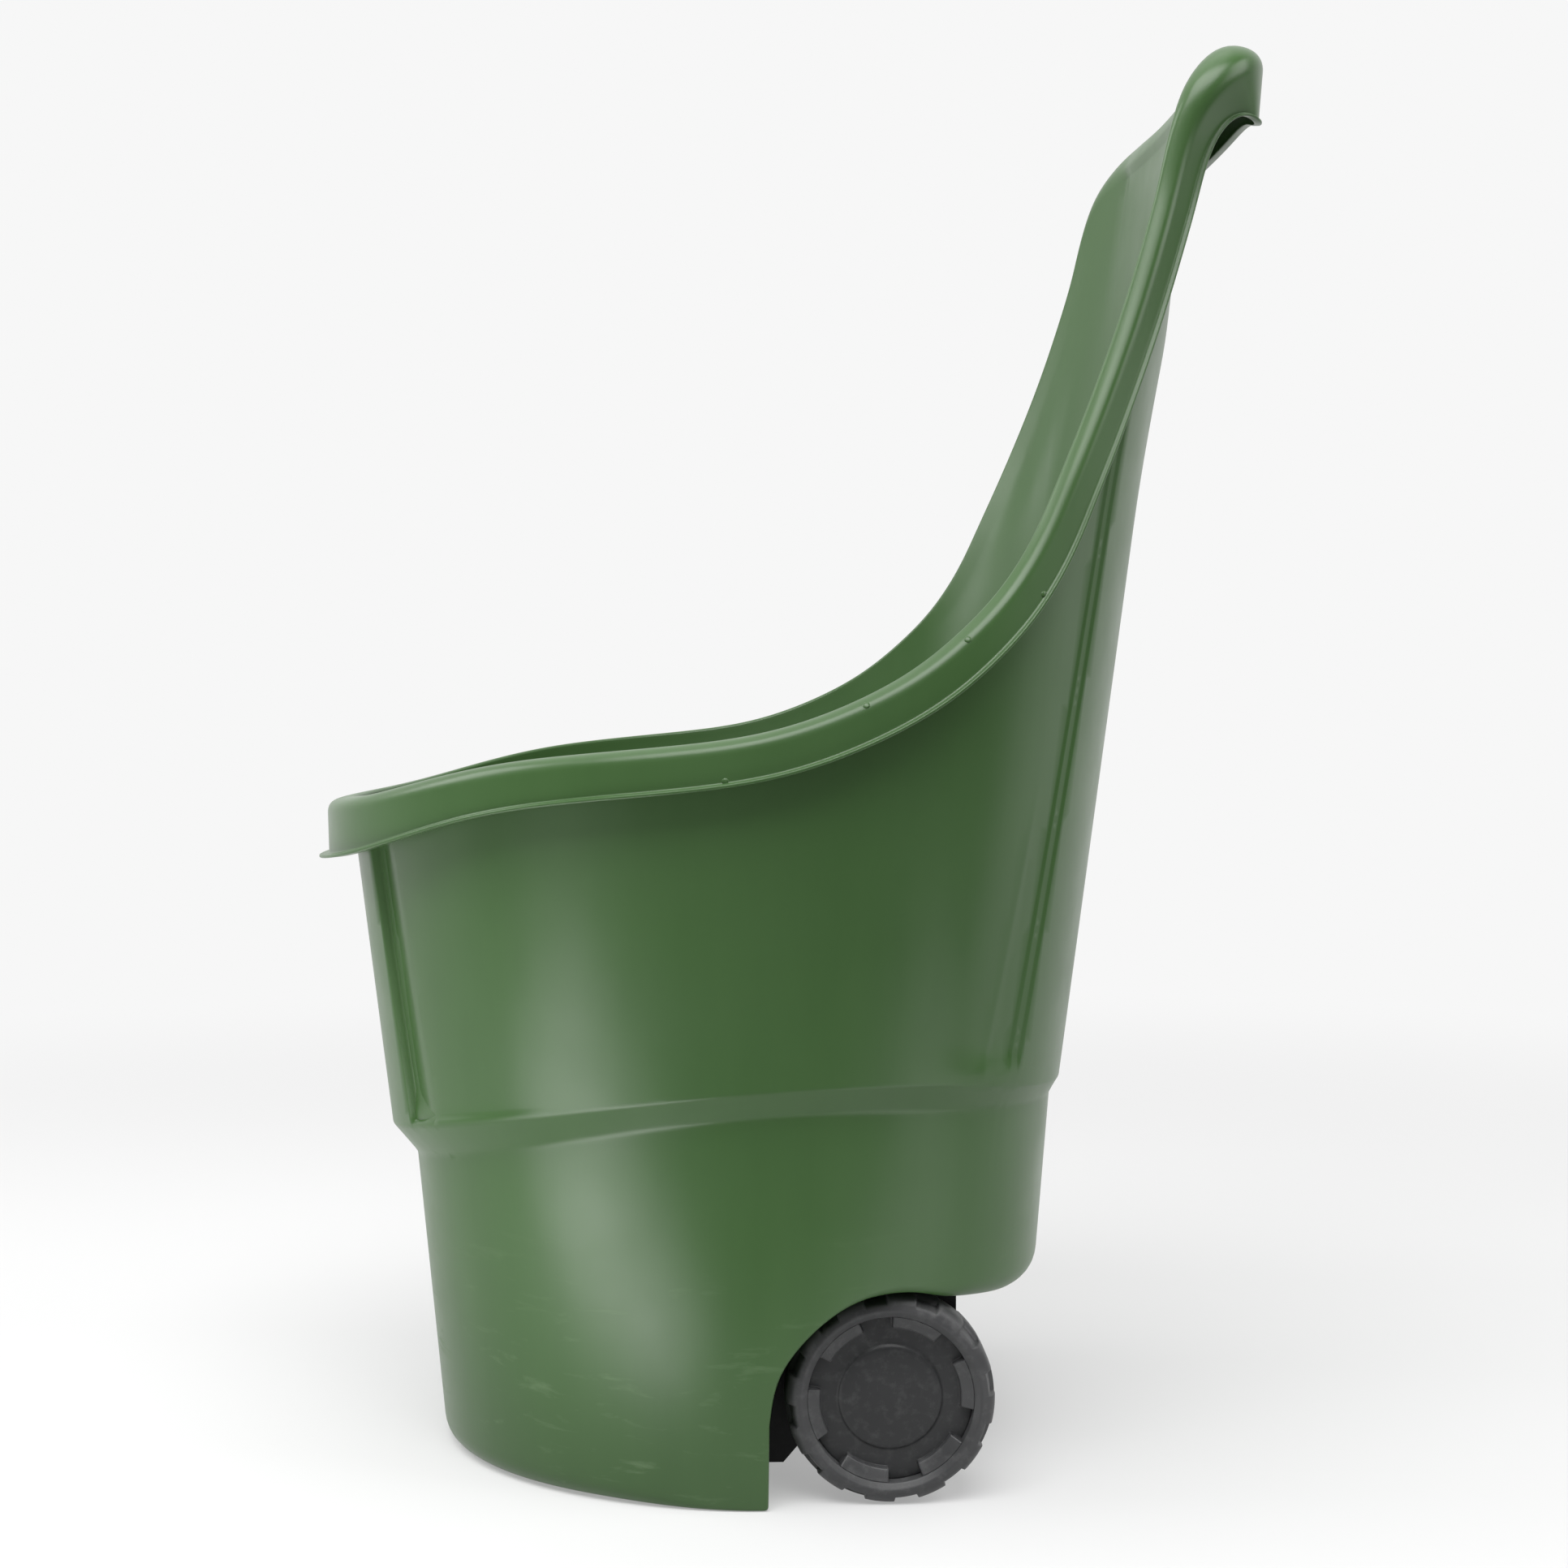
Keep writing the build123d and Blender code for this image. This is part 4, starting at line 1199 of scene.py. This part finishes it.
def wmath(op, a, b=None):
    n = wt.nodes.new("ShaderNodeMath"); n.operation = op
    for i, v in enumerate((a, b)):
        if v is None:
            continue
        if isinstance(v, (int, float)):
            n.inputs[i].default_value = v
        else:
            wt.links.new(v, n.inputs[i])
    return n.outputs[0]


# the room is dim in front of the object and pale behind it
turn_ = wmath("ARCTAN2", sp_.outputs["X"], wmath("MULTIPLY", sp_.outputs["Y"], -1.0))
mr = wt.nodes.new("ShaderNodeMapRange")
mr.inputs["From Min"].default_value = -math.pi; mr.inputs["From Max"].default_value = math.pi
wt.links.new(turn_, mr.inputs["Value"])
rp = wt.nodes.new("ShaderNodeValToRGB")
wt.links.new(mr.outputs["Result"], rp.inputs["Fac"])
e_ = rp.color_ramp.elements
stops = [(-180, 0.93), (-116, 0.93), (-92, 0.32), (-58, 0.12), (-20, 0.24), (8, 0.27), (28, 0.18), (50, 0.07),
         (100, 0.10), (128, 0.93), (180, 0.93)]
while len(e_) < len(stops):
    e_.new(0.5)
for k_, (deg, v_) in zip(e_, stops):
    k_.position = (deg + 180) / 360.0
    k_.color = (v_, v_, v_, 1)
wt.links.new(rp.outputs["Color"], bg.inputs["Color"])
bg.inputs["Strength"].default_value = 1.0


def area(name, loc, target, size, power, shape=None):
    l = bpy.data.lights.new(name, "AREA")
    l.shape = "RECTANGLE"; l.size, l.size_y = size
    l.energy = power
    o = bpy.data.objects.new(name, l)
    o.location = loc
    o.rotation_euler = (Vector(target) - Vector(loc)).to_track_quat("-Z", "Y").to_euler()
    bpy.context.scene.collection.objects.link(o)
    return o


area("key_left", (-1.9, 0.1, 1.7), (0, 0, 0.4), (1.2, 1.2), 26)
area("right", (2.05, -0.65, 1.65), (0.1, 0, 0.55), (1.4, 1.8), 29)
area("front_top", (-0.25, -1.3, 2.5), (0.05, 0, 0.55), (2.4, 1.6), 84)
area("top", (-0.2, 0.0, 2.4), (0, 0, 0.3), (1.8, 1.6), 7)

cam = bpy.data.cameras.new("photo_camera")
cam.lens = 54.5; cam.sensor_width = 36.0
cam.dof.use_dof = False
co_ = bpy.data.objects.new("photo_camera", cam)
co_.location = (-0.0522, -1.494, 0.4635)
co_.rotation_euler = (math.radians(87.73), 0, math.radians(-1.98))
bpy.context.scene.collection.objects.link(co_)
bpy.context.scene.camera = co_
bpy.context.scene.view_settings.view_transform = "Standard"
